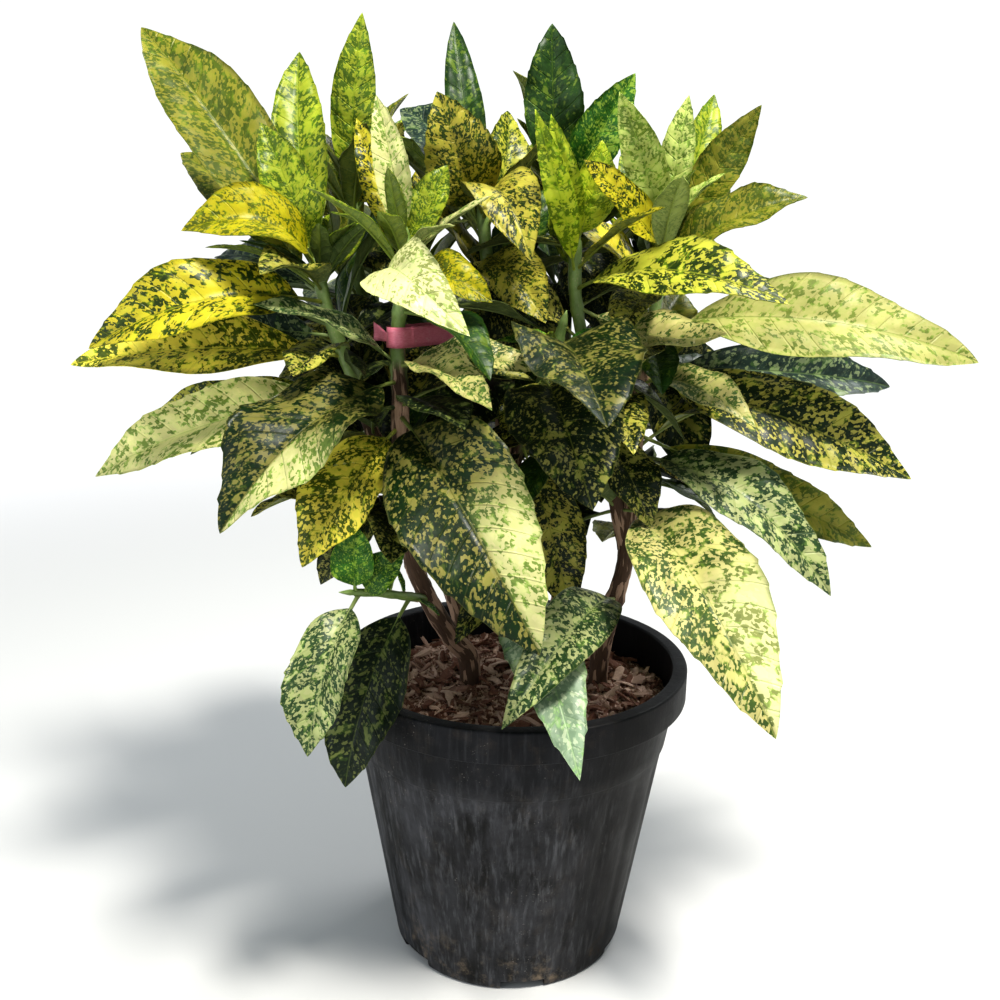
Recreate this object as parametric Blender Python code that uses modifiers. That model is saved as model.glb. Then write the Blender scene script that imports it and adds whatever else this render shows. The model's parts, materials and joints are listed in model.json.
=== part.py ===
"""A Japanese laurel with gold-dusted leaves, growing in a black nursery pot.

The pot, the soil, the tie and each woody stem with its leaves are separate pieces.
Units are metres, +Z is up, +Y points away from the viewer, and the origin is the middle
of the circle that the pot stands on.
"""
import math
import random
from collections import namedtuple

import bmesh
import bpy
from mathutils import Matrix, Vector
from mathutils.bvhtree import BVHTree

# Pot
POT_HEIGHT = 0.250
POT_SIDES = 48
WALL = 0.0025
RIM_RADIUS = 0.145
LIP_HEIGHT = 0.0255
BODY_TOP_RADIUS = 0.1363
FOOT_RADIUS = 0.0985
FOOT_RING = 0.0085
FLOOR_UNDERSIDE = 0.0085
BAND_HEIGHT = 0.038
BAND_STEP = 0.0014
FLUTE_DEPTH = 0.0011
FLUTE_LOW = 0.022
NOTCH_COUNT = 6
NOTCH_WIDTH = 0.036
NOTCH_HEIGHT = 0.0082
NOTCH_TURN = 8.0
DRAIN_COUNT = 6
DRAIN_RADIUS = 0.006
DRAIN_RING = 0.070

# Soil
GAP = 0.0003
SOIL_TOP = 0.222
SOIL_RINGS = (0.036, 0.072, 0.104)
SOIL_SIDES = 24
CHIP_COUNT = 20
CHIP_LENGTH = 0.030
CHIP_WIDTH = 0.012
CHIP_THICKNESS = 0.007
CHIP_REACH = 0.116
GOLDEN_TURN = math.pi * (3 - math.sqrt(5))
HOLE_BOTTOM = 0.150

# Leaves
BLADE_THICKNESS = 0.0008
PETIOLE_THICKNESS = 0.0026
PETIOLE_HALF_WIDTH = 0.0024
PETIOLE_SHARE = 0.13
FREE_FROM = 0.24
TOOTH_OUT = 0.055
NOTCH_IN = 0.012
WIDTH_PEAK = 0.3113
RIB_WEIGHT = 0.45
CLEARANCE = 0.0016
SEED = 7

# Tie
TIE_WIDTH = 0.015
TIE_THICKNESS = 0.0008
TIE_HEIGHT = 0.519
TIE_LOOP_RADIUS = 0.0080
TIE_ARC_STEPS = 6
TIE_TAIL = 0.016

# Each stem: the piece it belongs to, its radius at the foot and at the top, and its route.
Stem = namedtuple("Stem", "piece foot top route")
STEMS = {
    "front": Stem("leafy_stem_front", 0.0095, 0.0042, (
        (-0.036, 0.008, 0.155), (-0.036, 0.008, 0.238), (-0.050, -0.002, 0.264),
        (-0.068, -0.020, 0.304), (-0.080, -0.035, 0.345), (-0.087, -0.045, 0.409),
        (-0.087, -0.050, 0.472), (-0.088, -0.055, 0.517), (-0.085, -0.060, 0.546),
        (-0.082, -0.060, 0.588))),
    "left": Stem("leafy_stem_front", 0.0060, 0.0040, (
        (-0.084, -0.041, 0.372), (-0.106, -0.032, 0.430), (-0.131, -0.022, 0.497),
        (-0.144, -0.020, 0.532), (-0.154, -0.020, 0.572))),
    "low": Stem("leafy_stem_front", 0.0032, 0.0024, (
        (-0.069, -0.022, 0.306), (-0.084, -0.062, 0.322), (-0.100, -0.085, 0.332),
        (-0.115, -0.102, 0.338))),
    "right": Stem("leafy_stem_right", 0.0085, 0.0042, (
        (0.074, 0.012, 0.155), (0.074, 0.012, 0.238), (0.082, 0.004, 0.290),
        (0.091, 0.000, 0.335), (0.093, 0.000, 0.402), (0.097, 0.000, 0.475),
        (0.105, 0.000, 0.537), (0.110, 0.000, 0.594))),
    "centre": Stem("leafy_stem_right", 0.0058, 0.0040, (
        (0.090, 0.001, 0.345), (0.070, -0.008, 0.430), (0.053, -0.010, 0.500),
        (0.043, -0.010, 0.548), (0.042, -0.010, 0.588))),
    "middle": Stem("leafy_stem_middle", 0.0080, 0.0042, (
        (0.006, 0.034, 0.155), (0.006, 0.034, 0.238), (0.002, 0.032, 0.290),
        (-0.005, 0.030, 0.376), (-0.013, 0.030, 0.460), (-0.022, 0.030, 0.533),
        (-0.030, 0.030, 0.612))),
    "inner": Stem("leafy_stem_middle", 0.0055, 0.0038, (
        (-0.006, 0.029, 0.390), (0.010, 0.002, 0.455), (0.026, -0.026, 0.500),
        (0.032, -0.038, 0.525))),
    "back_left": Stem("leafy_stem_back_left", 0.0080, 0.0042, (
        (-0.046, 0.070, 0.155), (-0.046, 0.070, 0.238), (-0.056, 0.074, 0.280),
        (-0.092, 0.082, 0.380), (-0.120, 0.082, 0.485), (-0.134, 0.070, 0.560),
        (-0.138, 0.062, 0.620))),
    "back_outer": Stem("leafy_stem_back_left", 0.0050, 0.0038, (
        (-0.098, 0.082, 0.400), (-0.100, 0.110, 0.450), (-0.094, 0.130, 0.510),
        (-0.086, 0.138, 0.570))),
    "back_right": Stem("leafy_stem_back_right", 0.0080, 0.0042, (
        (0.036, 0.076, 0.155), (0.036, 0.076, 0.238), (0.042, 0.080, 0.290),
        (0.044, 0.090, 0.407), (0.039, 0.090, 0.537), (0.032, 0.082, 0.632))),
    "back_side": Stem("leafy_stem_back_right", 0.0052, 0.0038, (
        (0.044, 0.088, 0.380), (0.074, 0.104, 0.440), (0.104, 0.116, 0.500),
        (0.118, 0.118, 0.572))),
}
TIED_STEMS = ("front", "middle")

# Each leaf that the viewer sees: its stem, the height it leaves the stem at, where its tip is,
# its width, how far it arches as a share of its length, and which way its face looks, as a
# turn from the viewer (positive to the right) and a rise above the horizon, in degrees.
Leaf = namedtuple("Leaf", "stem height tip width arch turn rise teeth")
SEEN_LEAVES = (
    # left shoot
    Leaf("left", 0.562, (-0.290, 0.030, 0.740), 0.070, 0.07, 15, 25, 3),
    Leaf("left", 0.550, (-0.280, 0.080, 0.652), 0.046, 0.08, 0, 50, 2),
    Leaf("left", 0.566, (-0.238, -0.070, 0.592), 0.056, 0.28, -12, 40, 2),
    Leaf("left", 0.568, (-0.188, -0.030, 0.668), 0.040, 0.10, 10, 20, 2),
    Leaf("left", 0.566, (-0.174, 0.050, 0.727), 0.044, 0.06, 0, 15, 2),
    Leaf("left", 0.545, (-0.248, 0.060, 0.568), 0.042, 0.12, 0, 45, 2),
    Leaf("left", 0.540, (-0.304, -0.085, 0.510), 0.064, 0.20, -4, 38, 3),
    Leaf("left", 0.522, (-0.318, 0.080, 0.530), 0.036, 0.10, 0, 45, 2),
    Leaf("left", 0.515, (-0.270, 0.005, 0.512), 0.042, 0.10, 0, 35, 2),
    Leaf("left", 0.500, (-0.328, -0.060, 0.495), 0.054, 0.10, -5, 45, 3),
    Leaf("left", 0.470, (-0.326, -0.035, 0.405), 0.060, 0.08, -10, 42, 3),
    Leaf("left", 0.468, (-0.322, 0.030, 0.425), 0.048, 0.08, 0, 40, 2),
    Leaf("left", 0.440, (-0.235, 0.000, 0.395), 0.046, 0.10, -10, 35, 2),
    # front shoot
    Leaf("front", 0.486, (-0.192, -0.175, 0.402), 0.090, 0.14, -25, 42, 3),
    Leaf("front", 0.452, (-0.150, -0.120, 0.362), 0.060, 0.12, -12, 38, 3),
    Leaf("front", 0.580, (-0.101, -0.060, 0.685), 0.027, 0.05, 0, 10, 2),
    Leaf("front", 0.578, (-0.119, -0.030, 0.672), 0.026, -0.04, 10, 10, 2),
    Leaf("front", 0.582, (-0.052, -0.052, 0.640), 0.028, 0.05, 0, 20, 2),
    Leaf("front", 0.548, (-0.030, -0.170, 0.532), 0.048, 0.34, -30, 40, 3),
    Leaf("front", 0.562, (-0.018, -0.100, 0.548), 0.038, 0.16, 14, 35, 2),
    Leaf("front", 0.497, (-0.016, -0.150, 0.482), 0.036, 0.10, 12, 50, 2),
    Leaf("front", 0.495, (0.018, -0.085, 0.500), 0.034, 0.12, 10, 48, 2),
    Leaf("front", 0.460, (0.018, -0.195, 0.330), 0.098, 0.16, -4, 28, 3),
    Leaf("front", 0.400, (-0.146, -0.072, 0.333), 0.040, 0.12, -20, 35, 2),
    # low twig over the rim
    Leaf("low", 0.337, (-0.140, -0.170, 0.241), 0.054, 0.14, -22, 26, 3),
    Leaf("low", 0.318, (-0.121, -0.130, 0.196), 0.066, 0.10, 2, 18, 3),
    Leaf("low", 0.338, (-0.112, -0.112, 0.392), 0.034, 0.06, 0, 20, 2),
    Leaf("low", 0.336, (-0.078, -0.110, 0.372), 0.030, 0.16, 15, 35, 2),
    # middle and inner shoots
    Leaf("middle", 0.606, (-0.056, 0.080, 0.755), 0.030, 0.04, 10, 10, 2),
    Leaf("middle", 0.604, (-0.095, 0.040, 0.685), 0.050, 0.28, -20, 50, 2),
    Leaf("middle", 0.602, (0.008, -0.070, 0.575), 0.056, 0.34, 6, 34, 3),
    Leaf("middle", 0.606, (-0.062, -0.020, 0.692), 0.056, 0.16, -4, 22, 3),
    Leaf("middle", 0.575, (0.020, -0.050, 0.530), 0.048, 0.18, 0, 30, 2),
    Leaf("middle", 0.318, (-0.046, -0.030, 0.270), 0.028, 0.12, 0, 45, 2),
    Leaf("middle", 0.470, (-0.120, -0.010, 0.415), 0.056, 0.12, -10, 35, 2),
    Leaf("middle", 0.490, (-0.052, -0.070, 0.435), 0.056, 0.14, 0, 35, 2),
    Leaf("middle", 0.560, (0.020, 0.000, 0.490), 0.060, 0.14, 10, 25, 2),
    Leaf("inner", 0.512, (0.054, -0.215, 0.484), 0.092, 0.10, 4, 73, 3),
    Leaf("inner", 0.486, (0.052, -0.150, 0.416), 0.086, 0.12, 0, 32, 3),
    Leaf("right", 0.300, (-0.028, -0.155, 0.252), 0.050, 0.18, -4, 38, 3),
    # centre shoot
    Leaf("centre", 0.562, (-0.012, -0.060, 0.676), 0.022, 0.04, -6, 12, 2),
    Leaf("centre", 0.575, (0.016, -0.060, 0.674), 0.025, 0.04, 4, 12, 2),
    Leaf("centre", 0.586, (0.058, -0.025, 0.660), 0.036, 0.08, 20, 22, 2),
    Leaf("centre", 0.552, (0.178, -0.125, 0.552), 0.056, 0.14, 0, 46, 3),
    Leaf("centre", 0.540, (0.146, -0.085, 0.528), 0.044, -0.12, 0, 52, 2),
    Leaf("inner", 0.430, (0.046, -0.030, 0.300), 0.056, 0.04, 0, 5, 3),
    Leaf("centre", 0.440, (0.102, -0.062, 0.380), 0.044, 0.10, 10, 30, 2),
    # right shoot
    Leaf("right", 0.580, (0.036, -0.030, 0.645), 0.032, 0.05, 12, 30, 2),
    Leaf("right", 0.590, (0.059, -0.055, 0.682), 0.032, -0.03, -10, 12, 2),
    Leaf("right", 0.588, (0.121, -0.010, 0.693), 0.027, 0.05, 0, 10, 2),
    Leaf("right", 0.578, (0.152, 0.045, 0.700), 0.034, 0.05, 6, 12, 2),
    Leaf("right", 0.586, (0.172, -0.020, 0.686), 0.035, -0.10, -10, 20, 2),
    Leaf("right", 0.570, (0.208, -0.030, 0.622), 0.046, 0.12, 0, 50, 3),
    Leaf("right", 0.572, (0.101, 0.050, 0.668), 0.040, 0.06, 0, 15, 2),
    Leaf("right", 0.560, (0.164, 0.055, 0.645), 0.032, 0.06, 0, 20, 2),
    Leaf("right", 0.525, (0.333, -0.060, 0.508), 0.068, 0.15, 0, 38, 3),
    Leaf("right", 0.490, (0.310, 0.055, 0.473), 0.050, 0.10, 0, 30, 2),
    Leaf("right", 0.484, (0.292, -0.065, 0.422), 0.066, 0.12, 0, 40, 3),
    Leaf("right", 0.480, (0.166, -0.105, 0.466), 0.036, 0.12, -10, 52, 2),
    Leaf("right", 0.440, (0.290, 0.000, 0.350), 0.046, 0.08, 0, 32, 3),
    Leaf("right", 0.420, (0.238, 0.055, 0.358), 0.032, 0.08, 0, 30, 2),
    Leaf("right", 0.422, (0.232, -0.095, 0.340), 0.056, 0.20, 0, 50, 3),
    Leaf("right", 0.380, (0.176, -0.190, 0.272), 0.086, 0.17, 0, 33, 3),
    Leaf("right", 0.345, (0.184, -0.135, 0.250), 0.060, 0.16, 5, 42, 3),
    Leaf("right", 0.510, (0.040, -0.060, 0.526), 0.032, 0.12, 0, 45, 2),
    Leaf("middle", 0.268, (0.048, -0.178, 0.232), 0.060, 0.22, 0, 46, 3),
    # back shoots, over the others
    Leaf("back_left", 0.612, (-0.124, 0.045, 0.755), 0.036, 0.04, 0, 10, 2),
    Leaf("back_left", 0.610, (-0.092, 0.035, 0.675), 0.040, 0.10, 15, 25, 2),
    Leaf("back_right", 0.624, (0.022, 0.070, 0.753), 0.050, 0.05, 0, 10, 3),
    Leaf("back_right", 0.615, (0.088, 0.060, 0.716), 0.042, 0.06, -12, 18, 3),
    # shaded leaves inside the bush
    Leaf("back_left", 0.575, (-0.070, 0.010, 0.560), 0.056, 0.14, 10, 35, 2),
    Leaf("back_left", 0.525, (-0.128, -0.005, 0.430), 0.056, 0.12, 0, 25, 2),
    Leaf("back_left", 0.450, (-0.060, 0.020, 0.340), 0.058, 0.12, 5, 25, 2),
    Leaf("back_right", 0.595, (0.085, 0.030, 0.500), 0.060, 0.12, 8, 28, 2),
    Leaf("back_right", 0.560, (0.000, 0.055, 0.470), 0.056, 0.12, -8, 25, 2),
    Leaf("back_right", 0.500, (0.072, 0.030, 0.375), 0.062, 0.12, 5, 25, 2),
    Leaf("back_right", 0.430, (0.030, 0.030, 0.300), 0.060, 0.12, 0, 25, 2),
    Leaf("back_side", 0.500, (0.150, 0.045, 0.390), 0.060, 0.12, 5, 30, 2),
)

# Leaves that grow by rule: pairs up each stem, each pair a quarter turn on from the last.
# Each row gives the stem, the top pair's height, the spacing down the stem, the number of
# pairs, and the direction of the first pair in degrees from +X.
Pairs = namedtuple("Pairs", "stem top spacing count turn")
PAIR_RULES = (
    Pairs("back_left", 0.608, 0.040, 6, 40),
    Pairs("back_outer", 0.566, 0.040, 5, 70),
    Pairs("back_right", 0.620, 0.042, 6, 10),
    Pairs("back_side", 0.568, 0.040, 5, 60),
    Pairs("middle", 0.590, 0.048, 5, 75),
    Pairs("left", 0.552, 0.044, 3, 120),
    Pairs("right", 0.570, 0.048, 5, 80),
    Pairs("centre", 0.560, 0.048, 3, 95),
    Pairs("front", 0.550, 0.052, 4, 100),
)
TOP_LENGTH = 0.105
LENGTH_STEP = 0.016
LONGEST = 0.175
TOP_LIFT = 66
LIFT_STEP = 17
LOWEST_LIFT = -36
SIDE_ROLL = 28
REACH_X = 0.325
REACH_BACK = 0.226
TOWARDS_VIEWER = -0.80

COLOURS = {
    "pot": ((0.018, 0.019, 0.022), 0.45),
    "soil": ((0.115, 0.050, 0.026), 0.95),
    "stem_tie": ((0.62, 0.13, 0.20), 0.40),
    "leaf": ((0.20, 0.27, 0.03), 0.35),
}


def clear_scene():
    for item in list(bpy.data.objects):
        bpy.data.objects.remove(item, do_unlink=True)


def new_collection(name):
    group = bpy.data.collections.new(name)
    bpy.context.scene.collection.children.link(group)
    return group


def principled(name, colour, roughness):
    material = bpy.data.materials.new(name)
    material.use_nodes = True
    shader = material.node_tree.nodes["Principled BSDF"]
    shader.inputs["Base Color"].default_value = (*colour, 1.0)
    shader.inputs["Roughness"].default_value = roughness
    return material


def object_from(name, verts, faces, group):
    mesh = bpy.data.meshes.new(name)
    mesh.from_pydata([tuple(v) for v in verts], [], faces)
    mesh.update()
    item = bpy.data.objects.new(name, mesh)
    group.objects.link(item)
    return item


def baked(item):
    """Replace an object's mesh with what its modifiers make of it."""
    bpy.context.view_layer.update()
    depsgraph = bpy.context.evaluated_depsgraph_get()
    mesh = bpy.data.meshes.new_from_object(item.evaluated_get(depsgraph))
    item.modifiers.clear()
    old = item.data
    item.data = mesh
    bpy.data.meshes.remove(old)
    return item


def turned(name, profile, sides, group):
    """Spin a profile about Z."""
    item = object_from(name, [(r, 0.0, z) for r, z in profile], [], group)
    item.data.edges.add(len(profile) - 1)
    for i, edge in enumerate(item.data.edges):
        edge.vertices = (i, i + 1)
    screw = item.modifiers.new("Screw", "SCREW")
    screw.steps = screw.render_steps = sides
    screw.use_merge_vertices = True
    screw.merge_threshold = 0.0001
    return baked(item)


def cylinder_cutter(name, radius, low, high, place, sides, group):
    mesh = bpy.data.meshes.new(name)
    bm = bmesh.new()
    bmesh.ops.create_cone(bm, cap_ends=True, segments=sides, radius1=radius, radius2=radius,
                          depth=high - low)
    bm.to_mesh(mesh)
    bm.free()
    item = bpy.data.objects.new(name, mesh)
    item.location = (*place, (low + high) / 2)
    group.objects.link(item)
    return item


def block(name, size, place, turns, group):
    """A box of a size, turned about X, Y and Z."""
    mesh = bpy.data.meshes.new(name)
    bm = bmesh.new()
    bmesh.ops.create_cube(bm, size=1.0, matrix=Matrix.Diagonal((*size, 1.0)))
    bm.to_mesh(mesh)
    bm.free()
    item = bpy.data.objects.new(name, mesh)
    item.location = place
    item.rotation_euler = turns
    group.objects.link(item)
    return item


def hide_cutter(item):
    item.hide_render = True
    item.display_type = "WIRE"


def combine(item, group, operation, solver="EXACT"):
    """Cut an object with a collection, or join the collection to it, for good."""
    boolean = item.modifiers.new("Combine", "BOOLEAN")
    boolean.operation = operation
    boolean.solver = solver
    boolean.operand_type = "COLLECTION"
    boolean.collection = group
    baked(item)
    for other in list(group.objects):
        bpy.data.objects.remove(other, do_unlink=True)
    return item


def tidy(item, distance=0.00002):
    """Weld what a union leaves doubled, and split every face into triangles."""
    bm = bmesh.new()
    bm.from_mesh(item.data)
    bmesh.ops.remove_doubles(bm, verts=bm.verts, dist=distance)
    bmesh.ops.triangulate(bm, faces=bm.faces)
    bm.to_mesh(item.data)
    bm.free()


def body_radius(z):
    """The pot's outer radius below the lip, at a height."""
    share = z / (POT_HEIGHT - LIP_HEIGHT)
    return FOOT_RADIUS + (BODY_TOP_RADIUS - FOOT_RADIUS) * share


def inner_radius(z):
    return body_radius(z) - WALL - BAND_STEP


def pot_profile():
    lip_foot = POT_HEIGHT - LIP_HEIGHT
    band_foot = lip_foot - BAND_HEIGHT
    floor = FLOOR_UNDERSIDE + WALL + 0.001
    skirt = RIM_RADIUS - WALL
    return (
        (0.0, floor), (inner_radius(floor), floor), (inner_radius(lip_foot), lip_foot),
        (inner_radius(lip_foot) + 0.0004, POT_HEIGHT - 0.002),
        (inner_radius(lip_foot) + 0.0020, POT_HEIGHT),
        (RIM_RADIUS - 0.0020, POT_HEIGHT), (RIM_RADIUS, POT_HEIGHT - 0.0020),
        (RIM_RADIUS, lip_foot + 0.001), (RIM_RADIUS - 0.001, lip_foot),
        (skirt, lip_foot), (skirt, POT_HEIGHT - 0.004),
        (BODY_TOP_RADIUS + 0.0005, POT_HEIGHT - 0.004),
        (body_radius(lip_foot), lip_foot), (body_radius(band_foot), band_foot),
        (body_radius(band_foot) - BAND_STEP, band_foot - 0.001),
        (body_radius(FLUTE_LOW) - BAND_STEP, FLUTE_LOW), (FOOT_RADIUS - 0.0005, 0.007),
        (FOOT_RADIUS - 0.003, 0.0), (FOOT_RADIUS - FOOT_RING, 0.0),
        (FOOT_RADIUS - FOOT_RING, FLOOR_UNDERSIDE), (0.0, FLOOR_UNDERSIDE))


def flute(item):
    """Press every other edge line of the lower wall in, between the band and the foot."""
    top = POT_HEIGHT - LIP_HEIGHT - BAND_HEIGHT - 0.001
    for vertex in item.data.vertices:
        x, y, z = vertex.co
        radius = math.hypot(x, y)
        on_wall = FLUTE_LOW - 0.001 < z < top + 0.0005 and radius > inner_radius(z) + WALL / 2
        side = round(math.atan2(y, x) / (2 * math.pi / POT_SIDES))
        if on_wall and side % 2 and z < top - 0.0005:
            vertex.co.x *= 1 - FLUTE_DEPTH / radius
            vertex.co.y *= 1 - FLUTE_DEPTH / radius


def make_pot(group):
    pot = turned("pot", pot_profile(), POT_SIDES, group)
    flute(pot)
    cutters = new_collection("pot_cutters")
    for i in range(NOTCH_COUNT):
        turn = math.radians(NOTCH_TURN - 90 + i * 360 / NOTCH_COUNT)
        size = (4 * FOOT_RING, NOTCH_WIDTH, 2 * NOTCH_HEIGHT)
        place = (FOOT_RADIUS * math.cos(turn), FOOT_RADIUS * math.sin(turn), 0.0)
        hide_cutter(block(f"notch_{i}", size, place, (0.0, 0.0, turn), cutters))
    for i in range(DRAIN_COUNT):
        turn = math.radians(NOTCH_TURN - 60 + i * 360 / DRAIN_COUNT)
        place = (DRAIN_RING * math.cos(turn), DRAIN_RING * math.sin(turn))
        hide_cutter(cylinder_cutter(f"drain_{i}", DRAIN_RADIUS, 0.002, 0.020, place, 8, cutters))
    combine(pot, cutters, "DIFFERENCE")
    tidy(pot)
    pot.data.shade_smooth()
    pot.data.set_sharp_from_angle(angle=math.radians(35))
    return pot


def soil_height(x, y):
    """The soil's bumpy top."""
    waves = math.sin(61 * x + 1.3) * math.cos(53 * y - 0.4) + 0.6 * math.sin(131 * x - 97 * y)
    fall = 0.003 * (math.hypot(x, y) / 0.13) ** 2
    return SOIL_TOP + 0.0028 * waves - fall


def soil_profile():
    floor = FLOOR_UNDERSIDE + WALL + 0.001
    low = floor + GAP
    points = [(0.0, SOIL_TOP)] + [(r, SOIL_TOP) for r in SOIL_RINGS]
    points.append((inner_radius(SOIL_TOP - 0.006) - GAP, SOIL_TOP))
    points += [(inner_radius(low) - GAP, low), (0.0, low)]
    return points


def bark_chips(group):
    """Chips of bark that lie half sunk in the soil."""
    draw = random.Random(SEED)
    for i in range(CHIP_COUNT):
        turn = i * GOLDEN_TURN
        reach = CHIP_REACH * math.sqrt((i + 0.8) / CHIP_COUNT)
        x, y = reach * math.cos(turn), reach * math.sin(turn)
        size = draw.uniform(0.7, 1.15)
        tilt = (draw.uniform(-0.35, 0.35), draw.uniform(-0.3, 0.3), draw.uniform(0, math.pi))
        block(f"chip_{i}", (CHIP_LENGTH * size, CHIP_WIDTH * size, CHIP_THICKNESS),
              (x, y, soil_height(x, y) + 0.001), tilt, group)


def make_soil(group):
    soil = turned("soil", soil_profile(), SOIL_SIDES, group)
    for vertex in soil.data.vertices:
        if vertex.co.z > SOIL_TOP - 0.001:
            vertex.co.z = soil_height(vertex.co.x, vertex.co.y)
    chips = new_collection("chips")
    bark_chips(chips)
    combine(soil, chips, "UNION")
    holes = new_collection("stem_holes")
    for name, stem in STEMS.items():
        if stem.route[0][2] < SOIL_TOP:
            place = stem.route[0][:2]
            hole = cylinder_cutter(f"hole_{name}", stem.foot + 0.0005, HOLE_BOTTOM,
                                   POT_HEIGHT, place, 12, holes)
            hide_cutter(hole)
    combine(soil, holes, "DIFFERENCE")
    tidy(soil)
    return soil


def smooth_route(points, per_span=3):
    """Points along a smooth curve through the given ones."""
    knots = [Vector(p) for p in points]
    out = []
    for i in range(len(knots) - 1):
        a, b = knots[max(i - 1, 0)], knots[i]
        c, d = knots[i + 1], knots[min(i + 2, len(knots) - 1)]
        for k in range(per_span):
            t = k / per_span
            out.append(0.5 * (2 * b + (c - a) * t + (2 * a - 5 * b + 4 * c - d) * t * t
                              + (3 * b - a - 3 * c + d) * t ** 3))
    out.append(knots[-1])
    return out


def stem_radius(stem, share):
    return stem.foot + (stem.top - stem.foot) * share


def stem_place(name, height):
    """The point on a stem's middle line at a height."""
    line = smooth_route(STEMS[name].route)
    for a, b in zip(line, line[1:]):
        if a.z <= height <= b.z:
            return a.lerp(b, (height - a.z) / max(b.z - a.z, 1e-6))
    return line[-1].copy()


def stem_tube(name, group):
    """A tapering tube along a stem's route, as a closed mesh."""
    stem = STEMS[name]
    line = smooth_route(stem.route, 1)
    curve = bpy.data.curves.new(name, "CURVE")
    curve.dimensions = "3D"
    curve.bevel_depth = 1.0
    curve.bevel_resolution = 2 if stem.foot > 0.007 else 1
    curve.use_fill_caps = True
    spline = curve.splines.new("POLY")
    spline.points.add(len(line) - 1)
    for i, place in enumerate(line):
        spline.points[i].co = (*place, 1.0)
        spline.points[i].radius = stem_radius(stem, i / (len(line) - 1))
    holder = bpy.data.objects.new(name + "_line", curve)
    group.objects.link(holder)
    bpy.context.view_layer.update()
    depsgraph = bpy.context.evaluated_depsgraph_get()
    mesh = bpy.data.meshes.new_from_object(holder.evaluated_get(depsgraph))
    bm = bmesh.new()
    bm.from_mesh(mesh)
    bmesh.ops.remove_doubles(bm, verts=bm.verts, dist=0.00001)
    bmesh.ops.recalc_face_normals(bm, faces=bm.faces)
    bm.to_mesh(mesh)
    bm.free()
    tube = bpy.data.objects.new(name, mesh)
    tube.matrix_world = holder.matrix_world
    group.objects.link(tube)
    bpy.data.objects.remove(holder, do_unlink=True)
    return tube


def facing(turn, rise):
    """A direction from a turn away from the viewer and a rise above the horizon."""
    turn, rise = math.radians(turn), math.radians(rise)
    return Vector((math.sin(turn) * math.cos(rise), -math.cos(turn) * math.cos(rise),
                   math.sin(rise)))


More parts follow.
